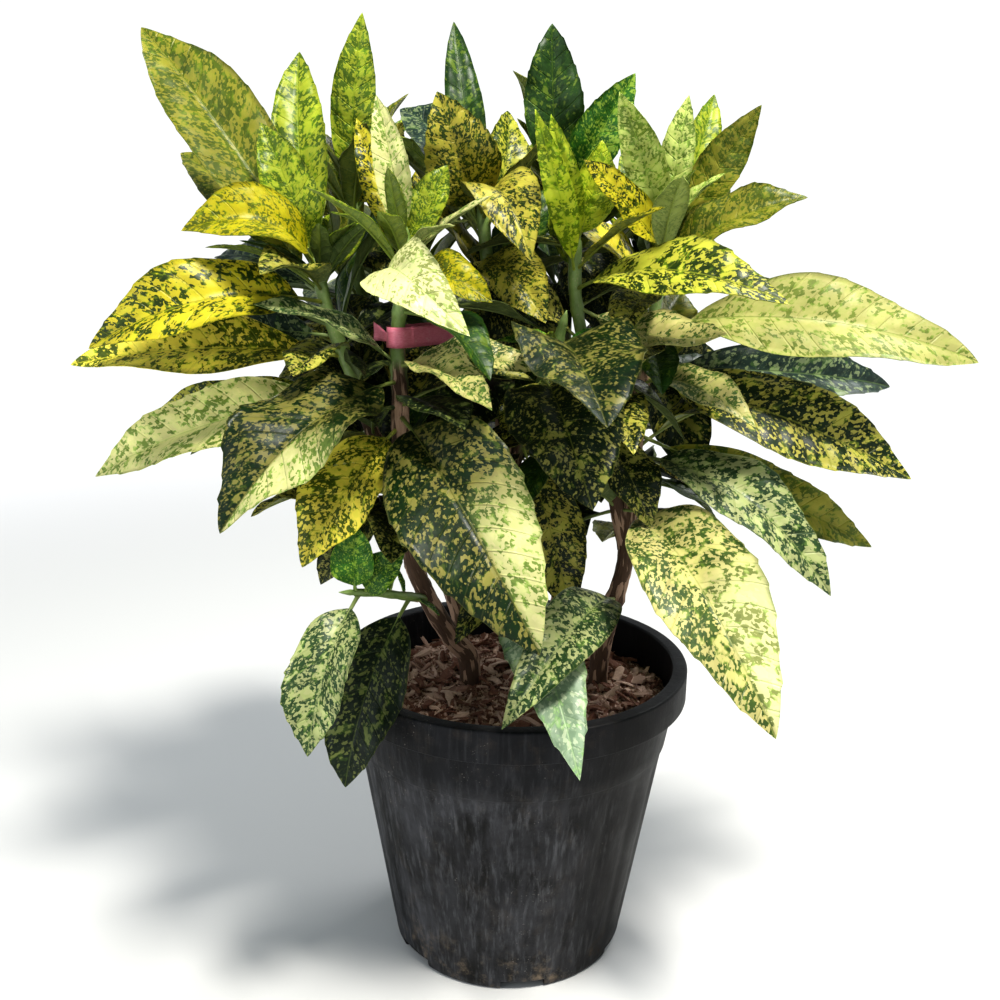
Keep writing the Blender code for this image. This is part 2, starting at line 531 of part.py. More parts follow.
class Blade:
    """A leaf's shape: a curved midrib with a toothed, waved half on each side."""

    def __init__(self, root, tip, face, leaf, mark):
        self.leaf = leaf
        self.root, self.tip = root, tip
        chord = tip - root
        self.length = chord.length
        along = chord.normalized()
        self.side = along.cross(face).normalized()
        up = self.side.cross(along)
        draw = random.Random(mark)
        self.fold = math.radians(draw.uniform(10, 24))
        self.phase = draw.uniform(0, 6.28)
        self.waves = draw.uniform(1.4, 2.4)
        self.wave = draw.uniform(0.05, 0.09) * leaf.width
        sweep = draw.uniform(-0.05, 0.05) * self.length
        self.bend = (root + tip) / 2 + up * (2 * leaf.arch * self.length) + self.side * sweep

    def middle(self, t):
        return (self.root * (1 - t) ** 2 + self.bend * (2 * t * (1 - t)) + self.tip * t * t)

    def normal(self, t):
        run = (self.bend - self.root) * (1 - t) + (self.tip - self.bend) * t
        return self.side.cross(run).normalized()

    def half_width(self, b):
        """Half the blade's width at a share of its length, without teeth."""
        return 0.5 * self.leaf.width * b ** 0.75 * (1 - b) ** 0.95 / WIDTH_PEAK

    def edge(self, b, hand, tooth):
        """A point on the margin: hand is -1 or 1, tooth how far it stands out."""
        t = PETIOLE_SHARE + (1 - PETIOLE_SHARE) * b
        half = max(self.half_width(b) + tooth * self.leaf.width, PETIOLE_HALF_WIDTH)
        ripple = self.wave * math.sin(self.waves * 6.28 * b + self.phase + 1.9 * hand)
        ripple *= min(1.0, 4 * b * (1 - b) * 1.3)
        out = self.side * hand * half * math.cos(self.fold)
        return self.middle(t) + out + self.normal(t) * (half * math.sin(self.fold) + ripple)

    def margin(self, hand):
        """The margin's points from the petiole's root to the last one before the tip."""
        points = [(self.middle(0.0) + self.side * hand * PETIOLE_HALF_WIDTH, 0.0)]
        points.append((self.edge(0.0, hand, 0.0), PETIOLE_SHARE))
        for b in (0.14, 0.32) if self.leaf.teeth > 2 else (0.24,):
            points.append((self.edge(b, hand, 0.0), PETIOLE_SHARE + (1 - PETIOLE_SHARE) * b))
        for i in range(self.leaf.teeth):
            b = 0.52 + 0.36 * i / max(self.leaf.teeth - 1, 1) + 0.012 * hand
            points.append((self.edge(b, hand, TOOTH_OUT),
                           PETIOLE_SHARE + (1 - PETIOLE_SHARE) * b))
            b += 0.026
            points.append((self.edge(b, hand, -NOTCH_IN),
                           PETIOLE_SHARE + (1 - PETIOLE_SHARE) * b))
        return points

    def midrib(self):
        shares = (0.0, 0.17, 0.36, 0.54, 0.72, 0.87) if self.leaf.teeth > 2 else (
            0.0, 0.30, 0.64)
        ts = [0.0] + [PETIOLE_SHARE + (1 - PETIOLE_SHARE) * b for b in shares]
        return [(self.middle(t), t) for t in ts]

    def surface(self):
        """The blade's middle sheet: points, triangles, and each triangle's least share."""
        rib = self.midrib()
        verts = [p for p, _ in rib]
        spots = [t for _, t in rib]
        tip = len(verts)
        verts.append(self.tip)
        spots.append(1.0)
        faces = []
        for hand in (-1, 1):
            margin = self.margin(hand)
            first = len(verts)
            verts += [p for p, _ in margin]
            spots += [t for _, t in margin]
            inner = list(range(len(rib))) + [tip]
            outer = list(range(first, first + len(margin))) + [tip]
            i = j = 0
            while i < len(inner) - 1 or j < len(outer) - 1:
                step_in = j == len(outer) - 1 or (
                    i < len(inner) - 1 and spots[inner[i + 1]] <= spots[outer[j + 1]])
                if step_in and inner[i + 1] == outer[j]:
                    break
                ahead = inner[i + 1] if step_in else outer[j + 1]
                corner = (inner[i], outer[j], ahead) if hand > 0 else (outer[j], inner[i], ahead)
                if len(set(corner)) == 3:
                    faces.append(corner)
                i, j = (i + 1, j) if step_in else (i, j + 1)
        return verts, faces, spots


def ground_leaf(leaf, swing=0.0, lift=0.0, roll=0.0, mark=0):
    """A leaf's blade, with its tip swung round and lifted and its face rolled a little."""
    root = stem_place(leaf.stem, leaf.height)
    reach = Vector(leaf.tip) - root
    reach.rotate(Matrix.Rotation(math.radians(swing), 3, "Z"))
    length = reach.length
    reach.z += lift
    reach *= length / reach.length
    face = facing(leaf.turn, leaf.rise)
    face.rotate(Matrix.Rotation(math.radians(roll), 3, reach.normalized()))
    return Blade(root, root + reach, face, leaf, mark)


def shell(verts, faces, half):
    """A thick skin round a sheet, for the test of what it would touch."""
    normals = [Vector() for _ in verts]
    for a, b, c in faces:
        n = (verts[b] - verts[a]).cross(verts[c] - verts[a])
        for i in (a, b, c):
            normals[i] += n
    up = [v + n.normalized() * half for v, n in zip(verts, normals)]
    down = [v - n.normalized() * half for v, n in zip(verts, normals)]
    count = len(verts)
    edges = {}
    for face in faces:
        for i in range(3):
            a, b = face[i], face[(i + 1) % 3]
            key = (min(a, b), max(a, b))
            edges[key] = None if key in edges else (a, b)
    skin = list(faces) + [tuple(i + count for i in face) for face in faces]
    for pair in edges.values():
        if pair:
            a, b = pair
            skin += [(a, b, b + count), (a, b + count, a + count)]
    return up + down, skin


class Placed:
    """A blade that has found its place, with what the next ones are tested against."""

    def __init__(self, blade, piece):
        self.blade, self.piece = blade, piece
        verts, faces, spots = blade.surface()
        self.verts, self.faces = verts, faces
        free = [f for f in faces if min(spots[i] for i in f) >= FREE_FROM * 0.5]
        self.free_faces = free
        self.whole = BVHTree.FromPolygons(verts, faces)
        self.free = BVHTree.FromPolygons(verts, free)
        skin = shell(verts, faces, CLEARANCE)
        self.whole_skin = BVHTree.FromPolygons(*skin)
        skin = shell(verts, free, CLEARANCE)
        self.free_skin = BVHTree.FromPolygons(*skin)
        self.centre = sum(verts, Vector()) / len(verts)
        self.radius = max((v - self.centre).length for v in verts)

    def meets(self, other):
        if (self.centre - other.centre).length > self.radius + other.radius + 2 * CLEARANCE:
            return False
        if self.piece == other.piece:
            return bool(self.free_skin.overlap(other.free))
        return bool(self.whole_skin.overlap(other.whole))


def mesh_tree(item, grow=0.0):
    """A search tree of an object's mesh, grown along its normals."""
    verts = [v.co + v.normal * grow for v in item.data.vertices]
    return BVHTree.FromPolygons(verts, [tuple(p.vertices) for p in item.data.polygons])


def swings():
    """The changes that a leaf tries, from none to the widest."""
    yield 0.0, 0.0, 0.0
    for step in range(1, 8):
        a, h, r = 4.0 * step, 0.007 * step, 9.0 * step
        for swing, lift, roll in ((a, 0, 0), (-a, 0, 0), (0, h, 0), (0, -h, 0), (0, 0, r),
                                  (0, 0, -r), (a, h, 0), (-a, h, 0), (a, -h, 0), (-a, -h, 0),
                                  (a, 0, r), (-a, 0, -r)):
            yield swing, lift, roll


def settle(leaf, mark, placed, solids):
    """The first of a leaf's tries that touches nothing, or None."""
    piece = STEMS[leaf.stem].piece
    for swing, lift, roll in swings():
        trial = Placed(ground_leaf(leaf, swing, lift, roll, mark), piece)
        if any(trial.meets(other) for other in placed):
            continue
        blocked = False
        for owner, tree in solids:
            skin = trial.free_skin if owner == piece else trial.whole_skin
            if skin.overlap(tree):
                blocked = True
                break
        if not blocked:
            trial.moved = (swing, lift, roll)
            return trial
    return None


def rule_leaves():
    """Leaves in crossed pairs up each stem, longer and lower towards its foot."""
    draw = random.Random(SEED)
    for level in range(max(rule.count for rule in PAIR_RULES)):
        for rule in PAIR_RULES:
            if level >= rule.count:
                continue
            height = rule.top - level * rule.spacing
            root = stem_place(rule.stem, height)
            for half in (0, 180):
                turn = math.radians(rule.turn + 90 * level + half + draw.uniform(-16, 16))
                lift = max(TOP_LIFT - LIFT_STEP * level, LOWEST_LIFT) + draw.uniform(-8, 8)
                length = min(TOP_LENGTH + LENGTH_STEP * level, LONGEST) * draw.uniform(0.9, 1.1)
                arch = draw.uniform(0.06, 0.17)
                out = Vector((math.cos(turn), math.sin(turn), 0.0))
                rise = math.radians(lift)
                if out.y < TOWARDS_VIEWER:
                    continue
                tip = root + (out * math.cos(rise) + Vector((0, 0, math.sin(rise)))) * length
                if abs(tip.x) > REACH_X or tip.y > REACH_BACK:
                    continue
                face = Vector((0, 0, math.cos(rise))) - out * math.sin(rise)
                roll = math.radians(draw.uniform(-SIDE_ROLL, SIDE_ROLL))
                face.rotate(Matrix.Rotation(roll, 3, (tip - root).normalized()))
                looks = math.degrees(math.atan2(face.x, -face.y))
                up = math.degrees(math.asin(max(-1.0, min(1.0, face.z))))
                width = length * draw.uniform(0.34, 0.43)
                yield Leaf(rule.stem, height, tuple(tip), width, arch, looks, up, 2)


def place_leaves(solids):
    """Settle the leaves one by one, the widest of the seen ones first."""
    placed, kept = [], []
    for mark, leaf in sorted(enumerate(SEEN_LEAVES), key=lambda row: -row[1].width):
        found = settle(leaf, mark, placed, solids)
        if found is None:
            print("no room for seen leaf", mark, leaf.stem, leaf.tip)
            continue
        placed.append(found)
        kept.append(mark)
        if any(found.moved):
            print("seen leaf", mark, leaf.stem, leaf.tip, "moved by", found.moved)
    for mark, leaf in enumerate(rule_leaves()):
        found = settle(leaf, 1000 + mark, placed, solids)
        if found is not None:
            placed.append(found)
    print("leaves placed", len(placed), "seen", len(kept))
    return placed


def leaf_solid(found, name, group):
    """A blade thickened into a closed solid, thicker at the petiole and along the midrib."""
    item = object_from(name, found.verts, found.faces, group)
    rib = len(found.blade.midrib())
    thick = item.vertex_groups.new(name="thick")
    _, _, spots = found.blade.surface()
    for i, spot in enumerate(spots):
        weight = 1.0 if spot < PETIOLE_SHARE + 0.01 else (RIB_WEIGHT if i < rib else 0.0)
        thick.add([i], weight, "REPLACE")
    solid = item.modifiers.new("Thickness", "SOLIDIFY")
    solid.thickness = PETIOLE_THICKNESS
    solid.offset = 0.0
    solid.vertex_group = "thick"
    solid.thickness_vertex_group = BLADE_THICKNESS / PETIOLE_THICKNESS
    return baked(item)


def tie_outline():
    """The loop's middle line round the two stems, seen from above, with its heights."""
    (ax, ay, az), (bx, by, bz) = (stem_place(n, TIE_HEIGHT) for n in TIED_STEMS)
    way = math.atan2(by - ay, bx - ax)
    points = []
    for (x, y, z), start in (((ax, ay, az), way + math.pi / 2), ((bx, by, bz), way - math.pi / 2)):
        for k in range(TIE_ARC_STEPS + 1):
            turn = start + math.pi * k / TIE_ARC_STEPS
            points.append(Vector((x + TIE_LOOP_RADIUS * math.cos(turn),
                                  y + TIE_LOOP_RADIUS * math.sin(turn), z)))
    return points


def ribbon(name, points, closed, group):
    """An upright ribbon that follows a line."""
    drop = Vector((0, 0, TIE_WIDTH / 2))
    verts = [p - drop for p in points] + [p + drop for p in points]
    count = len(points)
    spans = count if closed else count - 1
    faces = [(i, (i + 1) % count, (i + 1) % count + count, i + count) for i in range(spans)]
    item = object_from(name, verts, faces, group)
    solid = item.modifiers.new("Thickness", "SOLIDIFY")
    solid.thickness = TIE_THICKNESS
    solid.offset = 0.0
    return baked(item)


def make_tie(group):
    loop = tie_outline()
    tie = ribbon("stem_tie", loop, True, group)
    tails = new_collection("tie_tails")
    root = loop[1]
    away = (loop[1] - loop[3]).normalized()
    points = [root - away * 0.001, root + away * 0.007 + Vector((0, 0, 0.003)),
              root + away * TIE_TAIL + Vector((0, 0, 0.004))]
    ribbon("tail", points, False, tails)
    combine(tie, tails, "UNION")
    tidy(tie)
    return tie


def build():
    clear_scene()
    group = new_collection("potted_japanese_laurel")
    pot = make_pot(group)
    soil = make_soil(group)
    tie = make_tie(group)
    for item in (pot, soil, tie):
        item.data.materials.append(principled(item.name, *COLOURS[item.name]))
    solids = [("pot", mesh_tree(pot, CLEARANCE)), ("soil", mesh_tree(soil, CLEARANCE)),
              ("stem_tie", mesh_tree(tie, CLEARANCE))]
    parts = {}
    for name, stem in STEMS.items():
        shapes = parts.setdefault(stem.piece, new_collection(stem.piece + "_shapes"))
        tube = stem_tube(name, shapes)
        solids.append((stem.piece, mesh_tree(tube)))
    placed = place_leaves(solids)
    for i, found in enumerate(placed):
        leaf_solid(found, f"leaf_{i}", parts[found.piece])
    green = principled("leaf", *COLOURS["leaf"])
    for piece, shapes in parts.items():
        first = [o for o in shapes.objects if STEMS.get(o.name)][0]
        shapes.objects.unlink(first)
        group.objects.link(first)
        combine(first, shapes, "UNION", "MANIFOLD")
        first.name = piece
        first.data.name = piece
        tidy(first)
        first.data.materials.clear()
        first.data.materials.append(green)
    for item in group.objects:
        print(item.name, len(item.data.polygons), "faces")


build()
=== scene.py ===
# %% [markdown]
# # A potted Japanese laurel
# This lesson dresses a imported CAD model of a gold-dusted Japanese laurel in a nursery pot.
# The CAD model has the right sizes but coarse leaves. Each step regrows one kind of piece
# finely and gives it a finish that is made of nodes, with no pictures.
# Units are metres, +Z is up, and the viewer of the photograph looks along +Y.

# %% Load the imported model
import json
import math
import random
from collections import namedtuple

import bmesh
import bpy
import numpy as np
from mathutils import Matrix, Vector
from mathutils.bvhtree import BVHTree

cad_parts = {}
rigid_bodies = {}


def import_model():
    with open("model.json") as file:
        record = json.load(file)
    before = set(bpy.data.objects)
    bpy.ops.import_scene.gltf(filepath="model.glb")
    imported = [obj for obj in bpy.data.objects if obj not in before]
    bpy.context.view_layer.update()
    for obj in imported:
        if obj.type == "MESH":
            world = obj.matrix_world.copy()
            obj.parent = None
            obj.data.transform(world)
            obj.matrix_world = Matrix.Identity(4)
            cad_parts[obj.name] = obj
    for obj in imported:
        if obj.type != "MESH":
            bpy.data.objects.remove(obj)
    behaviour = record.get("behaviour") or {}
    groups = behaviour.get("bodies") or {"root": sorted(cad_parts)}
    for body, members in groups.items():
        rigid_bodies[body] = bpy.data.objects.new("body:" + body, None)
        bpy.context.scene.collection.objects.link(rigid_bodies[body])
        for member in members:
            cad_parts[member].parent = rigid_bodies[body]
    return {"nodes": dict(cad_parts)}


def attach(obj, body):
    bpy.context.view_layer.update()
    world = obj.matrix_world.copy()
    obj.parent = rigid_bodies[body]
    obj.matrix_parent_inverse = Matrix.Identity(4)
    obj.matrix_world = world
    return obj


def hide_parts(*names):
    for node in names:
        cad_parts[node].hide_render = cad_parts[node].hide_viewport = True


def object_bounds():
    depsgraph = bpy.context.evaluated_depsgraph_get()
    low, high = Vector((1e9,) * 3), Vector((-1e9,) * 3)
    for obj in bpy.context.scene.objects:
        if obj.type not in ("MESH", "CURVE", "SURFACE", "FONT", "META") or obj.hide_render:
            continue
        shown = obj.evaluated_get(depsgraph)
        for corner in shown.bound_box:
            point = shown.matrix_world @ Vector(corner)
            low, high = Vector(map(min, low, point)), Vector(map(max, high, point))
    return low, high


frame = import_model()
CAD_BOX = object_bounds()
print("nodes:", ", ".join(sorted(frame["nodes"])))

# %% [markdown]
# ## Camera
# The photograph was taken from a little above the pot's rim, close to the plant. Blender's
# camera is placed by a matrix of three directions: right, up and backwards. They are worked
# out from how far the camera looks down, how far it turns aside and how far it leans.

# %% Make the camera
VIEW_POINT = Vector((0.0, -0.8606, 0.6036))
LOOKS_DOWN, TURNS_ASIDE, LEANS = (math.radians(a) for a in (14.338, -0.811, 0.894))
LENS_MM, SENSOR_MM = 39.6, 36.0


def make_camera():
    ahead = Vector((math.sin(TURNS_ASIDE) * math.cos(LOOKS_DOWN),
                    math.cos(TURNS_ASIDE) * math.cos(LOOKS_DOWN), -math.sin(LOOKS_DOWN)))
    level = Vector((math.cos(TURNS_ASIDE), -math.sin(TURNS_ASIDE), 0.0))
    over = level.cross(ahead)
    right = level * math.cos(LEANS) + over * math.sin(LEANS)
    up = over * math.cos(LEANS) - level * math.sin(LEANS)
    data = bpy.data.cameras.new("camera")
    data.lens, data.sensor_width = LENS_MM, SENSOR_MM
    camera = bpy.data.objects.new("camera", data)
    camera.matrix_world = Matrix.Translation(VIEW_POINT) @ Matrix(
        (right, up, -ahead)).transposed().to_4x4()
    bpy.context.scene.collection.objects.link(camera)
    bpy.context.scene.camera = camera
    return camera


print("camera lens:", make_camera().data.lens, "mm")

# %% [markdown]
# ## Helpers for finishes
# A finish is a material: a small graph of nodes that works out colour, gloss and relief at
# each point. `node` adds one node, sets its options and feeds its inputs, and hands back
# one of its outputs, so a finish reads like a recipe. `new_piece` makes the mesh that carries
# a finish, and `note_on_points` writes down on its points what the finish has to know there.

# %% Define the finish helpers


def node(tree, kind, feed=None, out=0, **options):
    made = tree.nodes.new("ShaderNode" + kind)
    for name, value in options.items():
        setattr(made, name, value)
    for key, value in (feed or {}).items():
        if isinstance(value, bpy.types.NodeSocket):
            tree.links.new(value, made.inputs[key])
        else:
            made.inputs[key].default_value = value
    return made.outputs[out]


def sums(tree, operation, a, b=0.0):
    return node(tree, "Math", {0: a, 1: b}, operation=operation)


def times(tree, a, b):
    return sums(tree, "MULTIPLY", a, b)


def times_plus(tree, a, b, c, clamp=False):
    """a times b plus c, kept between 0 and 1 if clamp is set."""
    return node(tree, "Math", {0: a, 1: b, 2: c}, operation="MULTIPLY_ADD", use_clamp=clamp)


def tint(tree, share, a, b, mode="MIX"):
    return node(tree, "Mix", {0: share, 6: a, 7: b}, out=2, data_type="RGBA", blend_type=mode)


def band(tree, value, low, high):
    """0 below low, 1 above high, and a smooth rise between."""
    return node(tree, "MapRange", {0: value, 1: low, 2: high, 3: 0.0, 4: 1.0},
                interpolation_type="SMOOTHSTEP")


def cloud(tree, place, scale, detail=2.0, roughness=0.5):
    return node(tree, "TexNoise", {"Vector": place, "Scale": scale, "Detail": detail,
                                   "Roughness": roughness})


def cells(tree, place, scale):
    """A random number for each small cell of the surface."""
    colour = node(tree, "TexVoronoi", {"Vector": place, "Scale": scale}, out="Color")
    return node(tree, "SeparateColor", {0: colour})


def relief(tree, height, distance, strength=1.0, normal=None):
    feed = {"Height": height, "Distance": distance, "Strength": strength}
    if normal is not None:
        feed["Normal"] = normal
    return node(tree, "Bump", feed)


def finish(name):
    """A new material, its node tree and its shader."""
    material = bpy.data.materials.new(name)
    material.use_nodes = True
    return material, material.node_tree, material.node_tree.nodes["Principled BSDF"]


def feed_shader(tree, shader, **sockets):
    for name, value in sockets.items():
        socket = shader.inputs[name.replace("_", " ").title()]
        if isinstance(value, bpy.types.NodeSocket):
            tree.links.new(value, socket)
        else:
            socket.default_value = value


def new_piece(name, verts, faces, materials, stands_for):
    """A mesh piece of the plant that rides on the one body, in place of some CAD nodes."""
    mesh = bpy.data.meshes.new(name)
    mesh.from_pydata(verts, [], faces)
    for material in materials:
        mesh.materials.append(material)
    mesh.shade_smooth()
    item = bpy.data.objects.new(name, mesh)
    bpy.context.scene.collection.objects.link(item)
    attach(item, "root")
    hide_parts(*stands_for)
    return item


FIELD_OF = {"FLOAT": "value", "FLOAT_VECTOR": "vector", "FLOAT_COLOR": "color"}


def note_on_points(item, title, kind, values):
    """Store a number, a place or a colour on each point, for a finish to read."""
    layer = item.data.attributes.new(title, kind, "POINT")
    layer.data.foreach_set(FIELD_OF[kind], np.asarray(values, np.float32).ravel())


print("helpers ready")

# %% [markdown]
# ## Light and floor
# The plant stood in high sun. One large lamp a little to the right of the viewer gives each
# leaf a bright and a shaded half, but with soft edges. A broad lamp on the left keeps the
# shadows open and lights the pot's side, and one behind puts a pale gloss on leaves that
# slope away. The sky is a gradient: white at the horizon, as a pale backdrop, and a dim blue
# overhead, so that dark leaves keep their depth. The floor is a pale disc. Towards its edge
# it glows as brightly as the backdrop and reflects less, so no line shows where it ends.

# %% Make the lamps, the sky and the floor
Lamp = namedtuple("Lamp", "name place target watts size tint")
LAMPS = (
    Lamp("sun_side", (0.62, -1.00, 2.90), (0.0, 0.0, 0.42), 112.0, 0.50, (1.0, 0.97, 0.91)),
    Lamp("fill", (-2.1, -1.5, 1.2), (0.0, 0.0, 0.35), 19.0, 2.0, (0.90, 0.95, 1.0)),
    Lamp("behind", (1.4, 1.5, 2.4), (0.0, 0.0, 0.45), 34.0, 1.2, (1.0, 1.0, 1.0)),
)
SKY_EDGE, SKY_TOP = (0.88, 0.89, 0.90, 1.0), (0.30, 0.34, 0.37, 1.0)
SKY_EDGE_ENDS, SKY_TOP_FROM = 0.16, 0.42
FLOOR_RADIUS, FLOOR_SIDES, FLOOR_ROUGHNESS = 2.4, 96, 0.9
FLOOR_COLOUR, BLACK = (0.60, 0.60, 0.59, 1.0), (0.0, 0.0, 0.0, 1.0)
FADE_FROM, FADE_ENDS = 0.9, 2.3


def make_lamps():
    for lamp in LAMPS:
        data = bpy.data.lights.new(lamp.name, "AREA")
        data.energy, data.size, data.color = lamp.watts, lamp.size, lamp.tint
        item = bpy.data.objects.new(lamp.name, data)
        item.location = lamp.place
        item.rotation_euler = (Vector(lamp.target) - Vector(lamp.place)).to_track_quat(
            "-Z", "Y").to_euler()
        bpy.context.scene.collection.objects.link(item)


def make_sky():
    world = bpy.data.worlds.new("sky")
    world.use_nodes = True
    tree = world.node_tree
    way = node(tree, "TexCoord", out="Generated")
    height = node(tree, "SeparateXYZ", {0: way}, out="Z")
    colour = tint(tree, band(tree, height, SKY_EDGE_ENDS, SKY_TOP_FROM), SKY_EDGE, SKY_TOP)
    tree.links.new(colour, tree.nodes["Background"].inputs["Color"])
    bpy.context.scene.world = world
    bpy.context.scene.view_settings.view_transform = "Standard"
    bpy.context.scene.view_settings.look = "Medium High Contrast"


def make_floor():
    turns = [2 * math.pi * i / FLOOR_SIDES for i in range(FLOOR_SIDES)]
    mesh = bpy.data.meshes.new("floor")
    mesh.from_pydata([(FLOOR_RADIUS * math.cos(t), FLOOR_RADIUS * math.sin(t), 0.0)
                      for t in turns], [], [range(FLOOR_SIDES)])
    floor = bpy.data.objects.new("floor", mesh)
    bpy.context.scene.collection.objects.link(floor)
    paper, tree, shader = finish("pale_floor")
    place = node(tree, "NewGeometry", out="Position")
    reach = node(tree, "VectorMath", {0: place}, out="Value", operation="LENGTH")
    fade = band(tree, reach, FADE_FROM, FADE_ENDS)
    feed_shader(tree, shader, base_color=tint(tree, fade, FLOOR_COLOUR, BLACK),
                roughness=FLOOR_ROUGHNESS, emission_color=SKY_EDGE, emission_strength=fade)
    mesh.materials.append(paper)


make_lamps()
make_sky()
make_floor()
print("lamps:", len(LAMPS))

# %% [markdown]
# ## The woody stems
# A laurel makes a few stems from the soil that fork as they rise. Each row names the CAD
# piece, the stem's radius at its foot and top, and the points that it grows through. The
# same rows make the CAD model, so the fine stems grow exactly where the coarse ones are.

# %% List the stems
Stem = namedtuple("Stem", "piece foot top route")
STEMS = {
    "front": Stem("leafy_stem_front", 0.0095, 0.0042, (
        (-0.036, 0.008, 0.155), (-0.036, 0.008, 0.238), (-0.050, -0.002, 0.264),
        (-0.068, -0.020, 0.304), (-0.080, -0.035, 0.345), (-0.087, -0.045, 0.409),
        (-0.087, -0.050, 0.472), (-0.088, -0.055, 0.517), (-0.085, -0.060, 0.546),
        (-0.082, -0.060, 0.588))),
    "left": Stem("leafy_stem_front", 0.0060, 0.0040, (
        (-0.084, -0.041, 0.372), (-0.106, -0.032, 0.430), (-0.131, -0.022, 0.497),
        (-0.144, -0.020, 0.532), (-0.154, -0.020, 0.572))),
    "low": Stem("leafy_stem_front", 0.0032, 0.0024, (
        (-0.069, -0.022, 0.306), (-0.084, -0.062, 0.322), (-0.100, -0.085, 0.332),
        (-0.115, -0.102, 0.338))),
    "right": Stem("leafy_stem_right", 0.0085, 0.0042, (
        (0.074, 0.012, 0.155), (0.074, 0.012, 0.238), (0.082, 0.004, 0.290),
        (0.091, 0.000, 0.335), (0.093, 0.000, 0.402), (0.097, 0.000, 0.475),
        (0.105, 0.000, 0.537), (0.110, 0.000, 0.594))),
    "centre": Stem("leafy_stem_right", 0.0058, 0.0040, (
        (0.090, 0.001, 0.345), (0.070, -0.008, 0.430), (0.053, -0.010, 0.500),
        (0.043, -0.010, 0.548), (0.042, -0.010, 0.588))),
    "middle": Stem("leafy_stem_middle", 0.0080, 0.0042, (
        (0.006, 0.034, 0.155), (0.006, 0.034, 0.238), (0.002, 0.032, 0.290),
        (-0.005, 0.030, 0.376), (-0.013, 0.030, 0.460), (-0.022, 0.030, 0.533),
        (-0.030, 0.030, 0.612))),
    "inner": Stem("leafy_stem_middle", 0.0055, 0.0038, (
        (-0.006, 0.029, 0.390), (0.010, 0.002, 0.455), (0.026, -0.026, 0.500),
        (0.032, -0.038, 0.525))),
    "back_left": Stem("leafy_stem_back_left", 0.0080, 0.0042, (
        (-0.046, 0.070, 0.155), (-0.046, 0.070, 0.238), (-0.056, 0.074, 0.280),
        (-0.092, 0.082, 0.380), (-0.120, 0.082, 0.485), (-0.134, 0.070, 0.560),
        (-0.138, 0.062, 0.620))),
    "back_outer": Stem("leafy_stem_back_left", 0.0050, 0.0038, (
        (-0.098, 0.082, 0.400), (-0.100, 0.110, 0.450), (-0.094, 0.130, 0.510),
        (-0.086, 0.138, 0.570))),
    "back_right": Stem("leafy_stem_back_right", 0.0080, 0.0042, (
        (0.036, 0.076, 0.155), (0.036, 0.076, 0.238), (0.042, 0.080, 0.290),
        (0.044, 0.090, 0.407), (0.039, 0.090, 0.537), (0.032, 0.082, 0.632))),
    "back_side": Stem("leafy_stem_back_right", 0.0052, 0.0038, (
        (0.044, 0.088, 0.380), (0.074, 0.104, 0.440), (0.104, 0.116, 0.500),
        (0.118, 0.118, 0.572))),
}
print("stems:", len(STEMS))
